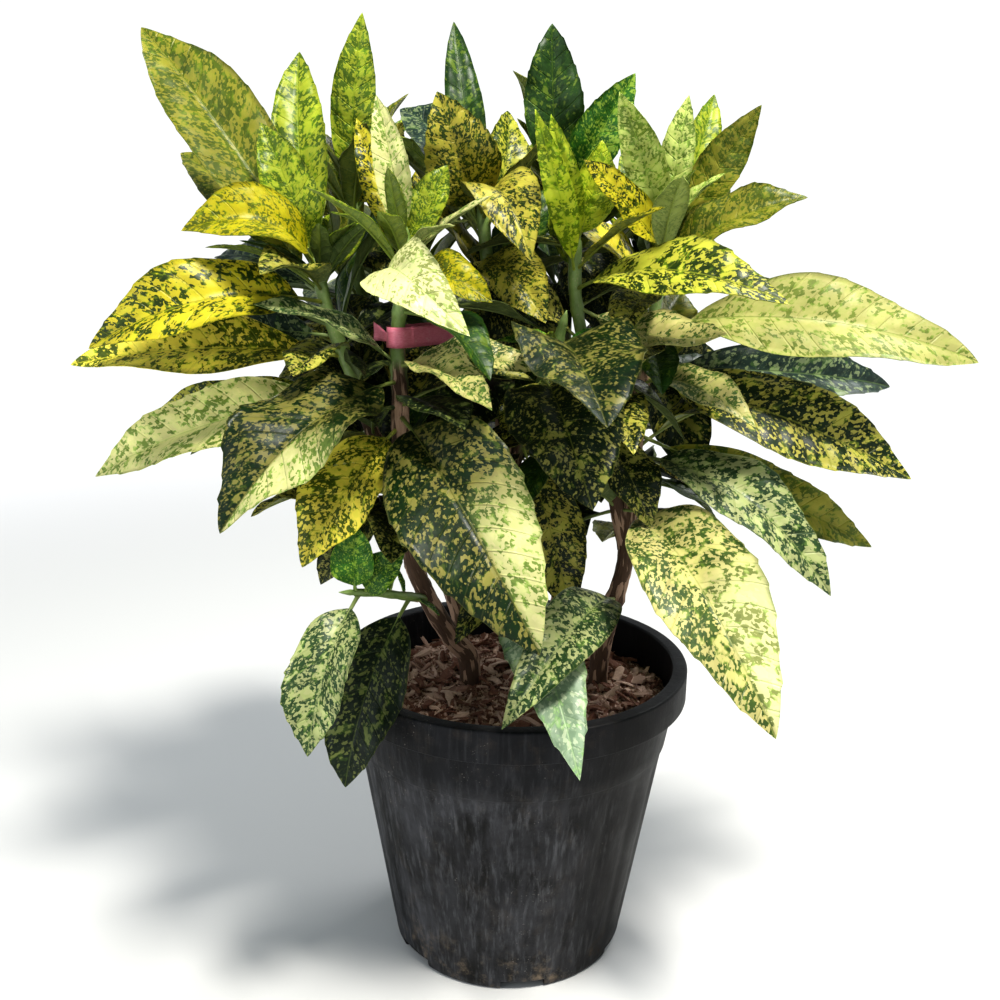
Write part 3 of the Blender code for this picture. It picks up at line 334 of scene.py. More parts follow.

# %% [markdown]
# ## The leaves that the photograph shows
# Each row is one leaf: its stem, the height where it leaves the stem, the place of its tip,
# its width, its arch, the way its face looks (a turn and a rise in degrees), how many large
# teeth each side has, and the name of its colouring, or of two for a leaf whose right half
# is painted paler, as a painted highlight of the sun's glare. Naming them here keeps the
# table readable; the finish settles what they mean.

# %% List the leaves
Leaf = namedtuple("Leaf", "stem height tip width arch turn rise teeth look")
SEEN_LEAVES = tuple(Leaf(*row) for row in (
    # left shoot
    ("left", 0.562, (-0.290, 0.030, 0.740), 0.070, 0.07, 15, 25, 3, "olive"),
    ("left", 0.550, (-0.280, 0.080, 0.652), 0.046, 0.08, 0, 50, 2, "olive"),
    ("left", 0.566, (-0.238, -0.070, 0.592), 0.056, 0.28, -12, 40, 2, "golden"),
    ("left", 0.568, (-0.188, -0.030, 0.668), 0.040, 0.10, 10, 20, 2, "fresh"),
    ("left", 0.566, (-0.174, 0.050, 0.727), 0.044, 0.06, 0, 15, 2, "fresh"),
    ("left", 0.545, (-0.248, 0.060, 0.568), 0.042, 0.12, 0, 45, 2, "blue"),
    ("left", 0.540, (-0.304, -0.085, 0.510), 0.064, 0.20, -4, 38, 3, "streaked"),
    ("left", 0.522, (-0.318, 0.080, 0.530), 0.036, 0.10, 0, 45, 2, "blue"),
    ("left", 0.515, (-0.270, 0.005, 0.512), 0.042, 0.10, 0, 35, 2, "blue"),
    ("left", 0.500, (-0.328, -0.060, 0.495), 0.054, 0.10, -5, 45, 3, "sunny"),
    ("left", 0.470, (-0.326, -0.035, 0.405), 0.060, 0.08, -10, 42, 3, "butter"),
    ("left", 0.468, (-0.322, 0.030, 0.425), 0.048, 0.08, 0, 40, 2, "speckled"),
    ("left", 0.440, (-0.235, 0.000, 0.395), 0.046, 0.10, -10, 35, 2, "dark"),
    # front shoot
    ("front", 0.486, (-0.192, -0.175, 0.402), 0.090, 0.14, -25, 42, 3, "shaded/cream"),
    ("front", 0.452, (-0.150, -0.120, 0.362), 0.060, 0.12, -12, 38, 3, "sunny"),
    ("front", 0.580, (-0.101, -0.060, 0.685), 0.027, 0.05, 0, 10, 2, "cream"),
    ("front", 0.578, (-0.119, -0.030, 0.672), 0.026, -0.04, 10, 10, 2, "streaked"),
    ("front", 0.582, (-0.052, -0.052, 0.640), 0.028, 0.05, 0, 20, 2, "fresh"),
    ("front", 0.548, (-0.030, -0.170, 0.532), 0.048, 0.34, -30, 40, 3, "ivory"),
    ("front", 0.562, (-0.018, -0.100, 0.548), 0.038, 0.16, 14, 35, 2, "golden"),
    ("front", 0.497, (-0.016, -0.150, 0.482), 0.036, 0.10, 12, 50, 2, "pale"),
    ("front", 0.495, (0.018, -0.085, 0.500), 0.034, 0.12, 10, 48, 2, "pale"),
    ("front", 0.460, (0.018, -0.195, 0.330), 0.098, 0.16, -4, 28, 3, "shaded/cream"),
    ("front", 0.400, (-0.146, -0.072, 0.333), 0.040, 0.12, -20, 35, 2, "dark"),
    # low twig over the rim
    ("low", 0.337, (-0.140, -0.170, 0.241), 0.054, 0.14, -22, 26, 3, "moss"),
    ("low", 0.318, (-0.121, -0.130, 0.196), 0.066, 0.10, 2, 18, 3, "deep"),
    ("low", 0.338, (-0.112, -0.112, 0.392), 0.034, 0.06, 0, 20, 2, "bright"),
    ("low", 0.336, (-0.078, -0.110, 0.372), 0.030, 0.16, 15, 35, 2, "bright"),
    # middle and inner shoots
    ("middle", 0.606, (-0.056, 0.080, 0.755), 0.030, 0.04, 10, 10, 2, "green"),
    ("middle", 0.604, (-0.095, 0.040, 0.685), 0.050, 0.28, -20, 50, 2, "blue"),
    ("middle", 0.602, (0.008, -0.070, 0.575), 0.056, 0.34, 6, 34, 3, "khaki"),
    ("middle", 0.606, (-0.062, -0.020, 0.692), 0.056, 0.16, -4, 22, 3, "khaki"),
    ("middle", 0.575, (0.020, -0.050, 0.530), 0.048, 0.18, 0, 30, 2, "khaki"),
    ("middle", 0.318, (-0.046, -0.030, 0.270), 0.028, 0.12, 0, 45, 2, "dark"),
    ("middle", 0.470, (-0.120, -0.010, 0.415), 0.056, 0.12, -10, 35, 2, "deep"),
    ("middle", 0.490, (-0.052, -0.070, 0.435), 0.056, 0.14, 0, 35, 2, "deep"),
    ("middle", 0.560, (0.020, 0.000, 0.490), 0.060, 0.14, 10, 25, 2, "dark"),
    ("inner", 0.512, (0.054, -0.215, 0.484), 0.092, 0.10, 4, 73, 3, "shaded"),
    ("inner", 0.486, (0.052, -0.150, 0.416), 0.086, 0.12, 0, 32, 3, "dark"),
    ("right", 0.300, (-0.028, -0.155, 0.252), 0.050, 0.18, -4, 38, 3, "moss"),
    # centre shoot
    ("centre", 0.562, (-0.012, -0.060, 0.676), 0.022, 0.04, -6, 12, 2, "lime"),
    ("centre", 0.575, (0.016, -0.060, 0.674), 0.025, 0.04, 4, 12, 2, "lime"),
    ("centre", 0.586, (0.058, -0.025, 0.660), 0.036, 0.08, 20, 22, 2, "lime"),
    ("centre", 0.552, (0.178, -0.125, 0.552), 0.056, 0.14, 0, 46, 3, "speckled"),
    ("centre", 0.540, (0.146, -0.085, 0.528), 0.044, -0.12, 0, 52, 2, "pale"),
    ("inner", 0.430, (0.046, -0.030, 0.300), 0.056, 0.04, 0, 5, 3, "dusted"),
    ("centre", 0.440, (0.102, -0.062, 0.380), 0.044, 0.10, 10, 30, 2, "dark"),
    # right shoot
    ("right", 0.580, (0.036, -0.030, 0.645), 0.032, 0.05, 12, 30, 2, "streaked"),
    ("right", 0.590, (0.059, -0.055, 0.682), 0.032, -0.03, -10, 12, 2, "mint"),
    ("right", 0.588, (0.121, -0.010, 0.693), 0.027, 0.05, 0, 10, 2, "mint"),
    ("right", 0.578, (0.152, 0.045, 0.700), 0.034, 0.05, 6, 12, 2, "fresh"),
    ("right", 0.586, (0.172, -0.020, 0.686), 0.035, -0.10, -10, 20, 2, "olive"),
    ("right", 0.570, (0.208, -0.030, 0.622), 0.046, 0.12, 0, 50, 3, "olive"),
    ("right", 0.572, (0.101, 0.050, 0.668), 0.040, 0.06, 0, 15, 2, "fresh"),
    ("right", 0.560, (0.164, 0.055, 0.645), 0.032, 0.06, 0, 20, 2, "olive"),
    ("right", 0.525, (0.333, -0.060, 0.508), 0.068, 0.15, 0, 38, 3, "buff"),
    ("right", 0.490, (0.310, 0.055, 0.473), 0.050, 0.10, 0, 30, 2, "blue"),
    ("right", 0.484, (0.292, -0.065, 0.422), 0.066, 0.12, 0, 40, 3, "dusted"),
    ("right", 0.480, (0.166, -0.105, 0.466), 0.036, 0.12, -10, 52, 2, "pale"),
    ("right", 0.440, (0.290, 0.000, 0.350), 0.046, 0.08, 0, 32, 3, "olive"),
    ("right", 0.420, (0.238, 0.055, 0.358), 0.032, 0.08, 0, 30, 2, "bronze"),
    ("right", 0.422, (0.232, -0.095, 0.340), 0.056, 0.20, 0, 50, 3, "moss"),
    ("right", 0.380, (0.176, -0.190, 0.272), 0.086, 0.17, 0, 33, 3, "pale/ivory"),
    ("right", 0.345, (0.184, -0.135, 0.250), 0.060, 0.16, 5, 42, 3, "olive"),
    ("right", 0.510, (0.040, -0.060, 0.526), 0.032, 0.12, 0, 45, 2, "bright"),
    # painted reflection: this leaf's colouring stands for the sky's sheen on it
    ("middle", 0.268, (0.048, -0.178, 0.232), 0.060, 0.22, 0, 46, 3, "silvery_sheen"),
    # back shoots, over the others
    ("back_left", 0.612, (-0.124, 0.045, 0.755), 0.036, 0.04, 0, 10, 2, "fresh"),
    ("back_left", 0.610, (-0.092, 0.035, 0.675), 0.040, 0.10, 15, 25, 2, "khaki"),
    ("back_right", 0.624, (0.022, 0.070, 0.753), 0.050, 0.05, 0, 10, 3, "green"),
    ("back_right", 0.615, (0.088, 0.060, 0.716), 0.042, 0.06, -12, 18, 3, "bright"),
    # shaded leaves inside the bush
    ("back_left", 0.575, (-0.070, 0.010, 0.560), 0.056, 0.14, 10, 35, 2, "dark"),
    ("back_left", 0.525, (-0.128, -0.005, 0.430), 0.056, 0.12, 0, 25, 2, "deep"),
    ("back_left", 0.450, (-0.060, 0.020, 0.340), 0.058, 0.12, 5, 25, 2, "deep"),
    ("back_right", 0.595, (0.085, 0.030, 0.500), 0.060, 0.12, 8, 28, 2, "dark"),
    ("back_right", 0.560, (0.000, 0.055, 0.470), 0.056, 0.12, -8, 25, 2, "deep"),
    ("back_right", 0.500, (0.072, 0.030, 0.375), 0.062, 0.12, 5, 25, 2, "deep"),
    ("back_right", 0.430, (0.030, 0.030, 0.300), 0.060, 0.12, 0, 25, 2, "deep"),
    ("back_side", 0.500, (0.150, 0.045, 0.390), 0.060, 0.12, 5, 30, 2, "dark"),
))
print("leaves in the photograph:", len(SEEN_LEAVES))

# %% [markdown]
# ## The leaves that grow by rule
# The rest of the bush isn't seen well enough to copy, so it follows the way the plant grows:
# leaves come in pairs, each pair a quarter turn on from the one above, short and upright at
# the top of a stem and longer and lower towards its foot.

# %% List the growing rules
Pairs = namedtuple("Pairs", "stem top spacing count turn")
PAIR_RULES = (
    Pairs("back_left", 0.608, 0.040, 6, 40),
    Pairs("back_outer", 0.566, 0.040, 5, 70),
    Pairs("back_right", 0.620, 0.042, 6, 10),
    Pairs("back_side", 0.568, 0.040, 5, 60),
    Pairs("middle", 0.590, 0.048, 5, 75),
    Pairs("left", 0.552, 0.044, 3, 120),
    Pairs("right", 0.570, 0.048, 5, 80),
    Pairs("centre", 0.560, 0.048, 3, 95),
    Pairs("front", 0.550, 0.052, 4, 100),
)
SEED = 7
QUARTER, HALF, TURN_JITTER = 90, 180, 16
TOP_LENGTH, LENGTH_STEP, LONGEST, LENGTH_SPREAD = 0.105, 0.016, 0.175, (0.9, 1.1)
TOP_LIFT, LIFT_STEP, LOWEST_LIFT, LIFT_JITTER = 66, 17, -36, 8
ARCHES, SLIMNESS, SIDE_ROLL, FEW_TEETH = (0.06, 0.17), (0.34, 0.43), 28, 2
REACH_X, REACH_BACK, TOWARDS_VIEWER = 0.325, 0.226, -0.80
print("stems that grow pairs:", len(PAIR_RULES))

# %% [markdown]
# ## Smooth curves
# A stem is drawn through a few points. A Catmull-Rom curve passes through all of them with no
# corners, and needs only the two neighbours of each span.

# %% Define the stem curves


def smooth_route(points, per_span=3):
    """Points along a smooth curve through the given ones."""
    knots = [Vector(p) for p in points]
    out = []
    for i in range(len(knots) - 1):
        a, b = knots[max(i - 1, 0)], knots[i]
        c, d = knots[i + 1], knots[min(i + 2, len(knots) - 1)]
        for k in range(per_span):
            t = k / per_span
            out.append(0.5 * (2 * b + (c - a) * t + (2 * a - 5 * b + 4 * c - d) * t * t
                              + (3 * b - a - 3 * c + d) * t ** 3))
    out.append(knots[-1])
    return out


def stem_radius(stem, share):
    return stem.foot + (stem.top - stem.foot) * share


def stem_place(name, height):
    """The point on a stem's middle line at a height."""
    line = smooth_route(STEMS[name].route)
    for a, b in zip(line, line[1:]):
        if a.z <= height <= b.z:
            return a.lerp(b, (height - a.z) / max(b.z - a.z, 1e-6))
    return line[-1].copy()


print("top of the front stem:", tuple(round(v, 3) for v in stem_place("front", 0.60)))

# %% [markdown]
# ## The plan of one leaf
# A leaf is drawn the way a draughtsman would: a curved midrib from the stem to the tip, and
# at each point along it a half-width to either side. The two halves rise from the midrib in
# a shallow V, the margin ripples, and the outer half of the margin has teeth. `surface`
# makes the coarse sheet of the CAD model, which is what leaves are kept clear of.

# %% Define a leaf's plan
PETIOLE_HALF_WIDTH, PETIOLE_SHARE = 0.0024, 0.13
TOOTH_OUT, NOTCH_IN, NOTCH_AFTER = 0.055, 0.012, 0.026
FIRST_TOOTH, TEETH_SPAN, TOOTH_OFFSET = 0.52, 0.36, 0.012
BASE_POWER, TIP_POWER, WIDTH_PEAK = 0.75, 0.95, 0.3113
FOLDS, WAVES, WAVE_SHARES, SWEEPS = (10, 24), (1.4, 2.4), (0.05, 0.09), (-0.05, 0.05)
FULL_TURN = 6.28


def on_blade(b):
    """The share of the whole leaf, petiole included, for a share of its blade."""
    return PETIOLE_SHARE + (1 - PETIOLE_SHARE) * b


def facing(turn, rise):
    """A direction from a turn away from the viewer and a rise above the horizon."""
    turn, rise = math.radians(turn), math.radians(rise)
    return Vector((math.sin(turn) * math.cos(rise), -math.cos(turn) * math.cos(rise),
                   math.sin(rise)))


class Blade:
    """A leaf's plan: a curved midrib and a toothed margin."""

    def __init__(self, root, tip, face, leaf, mark):
        self.leaf = leaf
        self.root, self.tip = root, tip
        chord = tip - root
        self.length = chord.length
        along = chord.normalized()
        self.side = along.cross(face).normalized()
        up = self.side.cross(along)
        draw = random.Random(mark)
        self.fold = math.radians(draw.uniform(*FOLDS))
        self.phase = draw.uniform(0, FULL_TURN)
        self.waves = draw.uniform(*WAVES)
        self.wave = draw.uniform(*WAVE_SHARES) * leaf.width
        sweep = draw.uniform(*SWEEPS) * self.length
        self.bend = (root + tip) / 2 + up * (2 * leaf.arch * self.length) + self.side * sweep

    def middle(self, t):
        return (self.root * (1 - t) ** 2 + self.bend * (2 * t * (1 - t)) + self.tip * t * t)

    def normal(self, t):
        run = (self.bend - self.root) * (1 - t) + (self.tip - self.bend) * t
        return self.side.cross(run).normalized()

    def half_width(self, b):
        """Half the blade's width at a share of its length, without teeth."""
        return 0.5 * self.leaf.width * b ** BASE_POWER * (1 - b) ** TIP_POWER / WIDTH_PEAK

    def edge(self, b, hand, tooth):
        """A point on the margin: hand is -1 or 1, tooth how far it stands out."""
        t = on_blade(b)
        half = max(self.half_width(b) + tooth * self.leaf.width, PETIOLE_HALF_WIDTH)
        ripple = self.wave * math.sin(self.waves * FULL_TURN * b + self.phase + 1.9 * hand)
        ripple *= min(1.0, 4 * b * (1 - b) * 1.3)
        out = self.side * hand * half * math.cos(self.fold)
        return self.middle(t) + out + self.normal(t) * (half * math.sin(self.fold) + ripple)

    def margin(self, hand):
        """The margin's points from the petiole's root to the last one before the tip."""
        points = [(self.middle(0.0) + self.side * hand * PETIOLE_HALF_WIDTH, 0.0)]
        points.append((self.edge(0.0, hand, 0.0), PETIOLE_SHARE))
        for b in (0.14, 0.32) if self.leaf.teeth > 2 else (0.24,):
            points.append((self.edge(b, hand, 0.0), on_blade(b)))
        for i in range(self.leaf.teeth):
            b = FIRST_TOOTH + TEETH_SPAN * i / max(self.leaf.teeth - 1, 1) + TOOTH_OFFSET * hand
            points.append((self.edge(b, hand, TOOTH_OUT), on_blade(b)))
            b += NOTCH_AFTER
            points.append((self.edge(b, hand, -NOTCH_IN), on_blade(b)))
        return points

    def midrib(self):
        """The midrib's points from the petiole's root to the last one before the tip."""
        shares = (0.0, 0.17, 0.36, 0.54, 0.72, 0.87) if self.leaf.teeth > 2 else (
            0.0, 0.30, 0.64)
        return [(self.middle(t), t) for t in [0.0] + [on_blade(b) for b in shares]]

    def surface(self):
        """The blade's middle sheet: points, triangles, and each triangle's least share."""
        rib = self.midrib()
        verts = [p for p, _ in rib]
        spots = [t for _, t in rib]
        tip = len(verts)
        verts.append(self.tip)
        spots.append(1.0)
        faces = []
        for hand in (-1, 1):
            margin = self.margin(hand)
            first = len(verts)
            verts += [p for p, _ in margin]
            spots += [t for _, t in margin]
            inner = list(range(len(rib))) + [tip]
            outer = list(range(first, first + len(margin))) + [tip]
            i = j = 0
            while i < len(inner) - 1 or j < len(outer) - 1:
                step_in = j == len(outer) - 1 or (
                    i < len(inner) - 1 and spots[inner[i + 1]] <= spots[outer[j + 1]])
                if step_in and inner[i + 1] == outer[j]:
                    break
                ahead = inner[i + 1] if step_in else outer[j + 1]
                corner = (inner[i], outer[j], ahead) if hand > 0 else (outer[j], inner[i], ahead)
                if len(set(corner)) == 3:
                    faces.append(corner)
                i, j = (i + 1, j) if step_in else (i, j + 1)
        return verts, faces, spots


def ground_leaf(leaf, swing=0.0, lift=0.0, roll=0.0, mark=0):
    """A leaf's blade, with its tip swung round and lifted and its face rolled a little."""
    root = stem_place(leaf.stem, leaf.height)
    reach = Vector(leaf.tip) - root
    reach.rotate(Matrix.Rotation(math.radians(swing), 3, "Z"))
    length = reach.length
    reach.z += lift
    reach *= length / reach.length
    face = facing(leaf.turn, leaf.rise)
    face.rotate(Matrix.Rotation(math.radians(roll), 3, reach.normalized()))
    return Blade(root, root + reach, face, leaf, mark)


print("petiole share of a leaf:", PETIOLE_SHARE)

# %% [markdown]
# ## Keeping leaves clear of each other
# On a real bush a leaf that meets another slides past it. Here each leaf tries its own place
# first, then small swings, lifts and rolls, and takes the first that touches nothing. The
# test is a search tree of triangles (a BVH), grown by a small clearance into a thick skin.

# %% Define the search for a clear place
CLEARANCE, WELD = 0.0016, 0.000002
FREE_FROM = 0.12


def shell(verts, faces, half):
    """A thick skin round a sheet, for the test of what it would touch."""
    normals = [Vector() for _ in verts]
    for a, b, c in faces:
        n = (verts[b] - verts[a]).cross(verts[c] - verts[a])
        for i in (a, b, c):
            normals[i] += n
    up = [v + n.normalized() * half for v, n in zip(verts, normals)]
    down = [v - n.normalized() * half for v, n in zip(verts, normals)]
    count = len(verts)
    edges = {}
    for face in faces:
        for i in range(3):
            a, b = face[i], face[(i + 1) % 3]
            key = (min(a, b), max(a, b))
            edges[key] = None if key in edges else (a, b)
    skin = list(faces) + [tuple(i + count for i in face) for face in faces]
    for pair in edges.values():
        if pair:
            a, b = pair
            skin += [(a, b, b + count), (a, b + count, a + count)]
    return up + down, skin


class Placed:
    """A blade that has found its place, with what the next ones are tested against."""

    def __init__(self, blade, piece):
        self.blade, self.piece = blade, piece
        verts, faces, spots = blade.surface()
        self.verts = verts
        free = [f for f in faces if min(spots[i] for i in f) >= FREE_FROM]
        self.whole = BVHTree.FromPolygons(verts, faces)
        self.free = BVHTree.FromPolygons(verts, free)
        self.whole_skin = BVHTree.FromPolygons(*shell(verts, faces, CLEARANCE))
        self.free_skin = BVHTree.FromPolygons(*shell(verts, free, CLEARANCE))
        self.centre = sum(verts, Vector()) / len(verts)
        self.radius = max((v - self.centre).length for v in verts)

    def meets(self, other):
        """Leaves of one piece may meet near the stem, where they grow together."""
        if (self.centre - other.centre).length > self.radius + other.radius + 2 * CLEARANCE:
            return False
        if self.piece == other.piece:
            return bool(self.free_skin.overlap(other.free))
        return bool(self.whole_skin.overlap(other.whole))


def mesh_tree(item, grow=0.0):
    """A search tree of a mesh whose doubled corners are welded, grown along its normals."""
    welded = bmesh.new()
    welded.from_mesh(item.data)
    bmesh.ops.remove_doubles(welded, verts=welded.verts, dist=WELD)
    mesh = bpy.data.meshes.new("welded")
    welded.to_mesh(mesh)
    welded.free()
    verts = [v.co + v.normal * grow for v in mesh.vertices]
    tree = BVHTree.FromPolygons(verts, [tuple(p.vertices) for p in mesh.polygons])
    bpy.data.meshes.remove(mesh)
    return tree


SWING_STEP, LIFTING_STEP, ROLL_STEP, WIDEST = 4.0, 0.007, 9.0, 7


def swings():
    """The swings, lifts and rolls that a leaf tries, from none to the widest."""
    yield 0.0, 0.0, 0.0
    for step in range(1, WIDEST + 1):
        a, h, r = SWING_STEP * step, LIFTING_STEP * step, ROLL_STEP * step
        yield from ((a, 0, 0), (-a, 0, 0), (0, h, 0), (0, -h, 0), (0, 0, r), (0, 0, -r),
                    (a, h, 0), (-a, h, 0), (a, -h, 0), (-a, -h, 0), (a, 0, r), (-a, 0, -r))


def settle(leaf, mark, placed, solids):
    """The first of a leaf's tries that touches nothing, or None."""
    piece = STEMS[leaf.stem].piece
    for swing, lift, roll in swings():
        trial = Placed(ground_leaf(leaf, swing, lift, roll, mark), piece)
        if any(trial.meets(other) for other in placed):
            continue
        if not any((trial.free_skin if owner == piece else trial.whole_skin).overlap(tree)
                   for owner, tree in solids):
            return trial
    return None


print("tries for each leaf:", len(list(swings())))

# %% [markdown]
# ## Growing the whole bush
# The widest leaves of the photograph settle first, because they are what the eye knows the
# plant by. The leaves that grow by rule fill in behind them and simply stay out where there
# is no room. The coarse stems here are only for the test, and are taken away again.

# %% Settle every leaf
RULE_MARK, SMALL_MARK = 1000, 2000


def leaning(turn, lift):
    """For a leaf that leans out of its stem: the level way, its heading and its face."""
    out = Vector((math.cos(turn), math.sin(turn), 0.0))
    heading = out * math.cos(lift) + Vector((0, 0, math.sin(lift)))
    return out, heading, Vector((0, 0, math.cos(lift))) - out * math.sin(lift)


def face_angles(face):
    """The turn and the rise, in degrees, of the way that a face looks."""
    return (math.degrees(math.atan2(face.x, -face.y)),
            math.degrees(math.asin(max(-1.0, min(1.0, face.z)))))


def rule_leaves():
    """Leaves in crossed pairs up each stem, longer and lower towards its foot."""
    draw = random.Random(SEED)
    for level in range(max(rule.count for rule in PAIR_RULES)):
        for rule in PAIR_RULES:
            if level >= rule.count:
                continue
            height = rule.top - level * rule.spacing
            root = stem_place(rule.stem, height)
            for half in (0, HALF):
                turn = math.radians(rule.turn + QUARTER * level + half
                                    + draw.uniform(-TURN_JITTER, TURN_JITTER))
                lift = max(TOP_LIFT - LIFT_STEP * level, LOWEST_LIFT)
                lift = math.radians(lift + draw.uniform(-LIFT_JITTER, LIFT_JITTER))
                length = min(TOP_LENGTH + LENGTH_STEP * level, LONGEST)
                length *= draw.uniform(*LENGTH_SPREAD)
                arch = draw.uniform(*ARCHES)
                out, heading, face = leaning(turn, lift)
                tip = root + heading * length
                if out.y < TOWARDS_VIEWER or abs(tip.x) > REACH_X or tip.y > REACH_BACK:
                    continue
                roll = math.radians(draw.uniform(-SIDE_ROLL, SIDE_ROLL))
                face.rotate(Matrix.Rotation(roll, 3, (tip - root).normalized()))
                width = length * draw.uniform(*SLIMNESS)
                yield Leaf(rule.stem, height, tuple(tip), width, arch, *face_angles(face),
                           FEW_TEETH, "")


def coarse_stem(name):
    """The CAD model's plain stem tube, for the test."""
    stem = STEMS[name]
    line = smooth_route(stem.route, 1)
    curve = bpy.data.curves.new(name, "CURVE")
    curve.dimensions = "3D"
    curve.bevel_depth = 1.0
    curve.bevel_resolution = 2 if stem.foot > 0.007 else 1
    curve.use_fill_caps = True
    spline = curve.splines.new("POLY")
    spline.points.add(len(line) - 1)
    for i, place in enumerate(line):
        spline.points[i].co = (*place, 1.0)
        spline.points[i].radius = stem_radius(stem, i / (len(line) - 1))
    holder = bpy.data.objects.new(name + "_line", curve)
    bpy.context.scene.collection.objects.link(holder)
    bpy.context.view_layer.update()
    depsgraph = bpy.context.evaluated_depsgraph_get()
    mesh = bpy.data.meshes.new_from_object(holder.evaluated_get(depsgraph))
    tube = bpy.data.objects.new(name, mesh)
    tree = mesh_tree(tube)
    bpy.data.objects.remove(tube)
    bpy.data.objects.remove(holder)
    bpy.data.curves.remove(curve)
    bpy.data.meshes.remove(mesh)
    return tree


def standing_solids():
    """Everything but leaves that a leaf has to stay clear of, with the piece that it is in."""
    solids = [(name, mesh_tree(frame["nodes"][name], CLEARANCE))
              for name in ("pot", "soil", "stem_tie")]
    return solids + [(stem.piece, coarse_stem(name)) for name, stem in STEMS.items()]


def settle_leaves(solids):
    placed = []
    for mark, leaf in sorted(enumerate(SEEN_LEAVES), key=lambda row: -row[1].width):
        placed.append(settle(leaf, mark, placed, solids))
        placed = [found for found in placed if found]
    for mark, leaf in enumerate(rule_leaves()):
        found = settle(leaf, RULE_MARK + mark, placed, solids)
        if found:
            placed.append(found)
    return placed


SOLIDS = standing_solids()
GROWN = settle_leaves(SOLIDS)
print("leaves settled:", len(GROWN))

# %% [markdown]
# ## Young leaves and inner leaves
# The CAD model leaves out the bush's smallest leaves. Here each shoot gets a tuft of young
# ones round its bud: short, narrow and nearly upright, each turned on by the golden angle.
# Dark leaves also fill the inside, where the bush would look hollow. They all settle last,
# so the leaves that the CAD model has keep their places.

# %% Grow the young leaves and the inner ones
GOLDEN_ANGLE, YOUNG_TURN_JITTER = 137.5, 20
NEWEST_SIZE, SIZE_GAIN, YOUNG_SPREAD = 0.55, 0.55, (0.85, 1.15)
BUD_GAP, TUFT_DEPTH = 0.002, 0.022
NEWEST_LIFT, LIFT_LOSS, YOUNG_LIFT_JITTER = 86, 34, 6
YOUNG_SLIMNESS, YOUNG_ARCHES = (0.17, 0.28), (0.02, 0.12)
Tuft = namedtuple("Tuft", "stem count length looks")
TUFTS = (
    Tuft("left", 13, 0.090, ("fresh", "olive", "green")),
    Tuft("front", 13, 0.090, ("fresh", "cream", "streaked")),
    Tuft("middle", 15, 0.110, ("khaki", "olive", "fresh")),
    Tuft("inner", 6, 0.055, ("bright", "fresh")),
    Tuft("centre", 15, 0.100, ("lime", "streaked", "fresh")),
    Tuft("right", 16, 0.105, ("fresh", "mint", "green")),
    Tuft("back_left", 12, 0.105, ("fresh", "olive", "green")),
    Tuft("back_outer", 9, 0.095, ("green", "fresh")),
    Tuft("back_right", 13, 0.105, ("green", "olive", "fresh")),
    Tuft("back_side", 10, 0.095, ("green", "fresh")),
    Tuft("low", 3, 0.030, ("bright",)),
)
INNER_STEMS = ("left", "front", "middle", "inner", "centre", "right", "back_left",
               "back_right", "back_side", "back_outer")
INNER_LEVELS, INNER_TOP, INNER_STEP, INNER_JITTER = 8, 0.616, 0.035, 0.01
INNER_COUNT, INNER_LENGTHS, INNER_LIFTS = 3, (0.075, 0.120), (-25, 50)
INNER_SLIMNESS, INNER_ARCHES = (0.36, 0.46), (0.06, 0.16)
INNER_LOOKS = ("dark", "deep", "dusted", "green", "deep")


def leaning_leaf(stem, height, turn, lift, length, width, arch, look):
    """A leaf given by its heading and lift in degrees, with its face turned up."""
    heading, face = leaning(math.radians(turn), math.radians(lift))[1:]
    tip = stem_place(stem, height) + heading * length
    return Leaf(stem, height, tuple(tip), width, arch, *face_angles(face), FEW_TEETH, look)


def young_leaves():
    draw = random.Random(SEED + 1)
    for tuft in TUFTS:
        top = STEMS[tuft.stem].route[-1][2]
        for i in range(tuft.count):
            age = (i + 1) / tuft.count
            length = tuft.length * (NEWEST_SIZE + SIZE_GAIN * age) * draw.uniform(*YOUNG_SPREAD)
            turn = i * GOLDEN_ANGLE + draw.uniform(-YOUNG_TURN_JITTER, YOUNG_TURN_JITTER)
            lift = NEWEST_LIFT - LIFT_LOSS * age
            lift += draw.uniform(-YOUNG_LIFT_JITTER, YOUNG_LIFT_JITTER)
            yield leaning_leaf(tuft.stem, top - BUD_GAP - TUFT_DEPTH * age, turn, lift, length,
                               length * draw.uniform(*YOUNG_SLIMNESS),
                               draw.uniform(*YOUNG_ARCHES), draw.choice(tuft.looks))


def inner_leaves():
    draw = random.Random(SEED + 2)
    for level in range(INNER_LEVELS):
        for stem in INNER_STEMS:
            height = INNER_TOP - INNER_STEP * level + draw.uniform(-INNER_JITTER, INNER_JITTER)
            if not STEMS[stem].route[0][2] < height < STEMS[stem].route[-1][2]:
                continue
            for _ in range(INNER_COUNT):
                length = draw.uniform(*INNER_LENGTHS)
                turn, lift = draw.uniform(0, 360), draw.uniform(*INNER_LIFTS)
                yield leaning_leaf(stem, height, turn, lift, length,
                                   length * draw.uniform(*INNER_SLIMNESS),
                                   draw.uniform(*INNER_ARCHES), draw.choice(INNER_LOOKS))


def inside_box(found):
    """Whether a leaf keeps within the box of the CAD model."""
    low, high = CAD_BOX
    return all(low[i] <= v[i] <= high[i] for v in found.verts for i in range(3))


def add_small_leaves(solids, placed):
    count = len(placed)
    for mark, leaf in enumerate([*young_leaves(), *inner_leaves()]):
        found = settle(leaf, SMALL_MARK + mark, placed, solids)
        if found and inside_box(found):
            placed.append(found)
    return len(placed) - count


print("small leaves added:", add_small_leaves(SOLIDS, GROWN))

# %% [markdown]
# ## Colourings of the leaves
# The same leaf comes dark with a few gold specks, evenly dusted, or nearly all gold, and
# young leaves are a clear yellow-green. A colouring here is the green ground, the gold of the
# markings, and how rare the markings are (0 is mostly gold, 0.8 is a few specks).

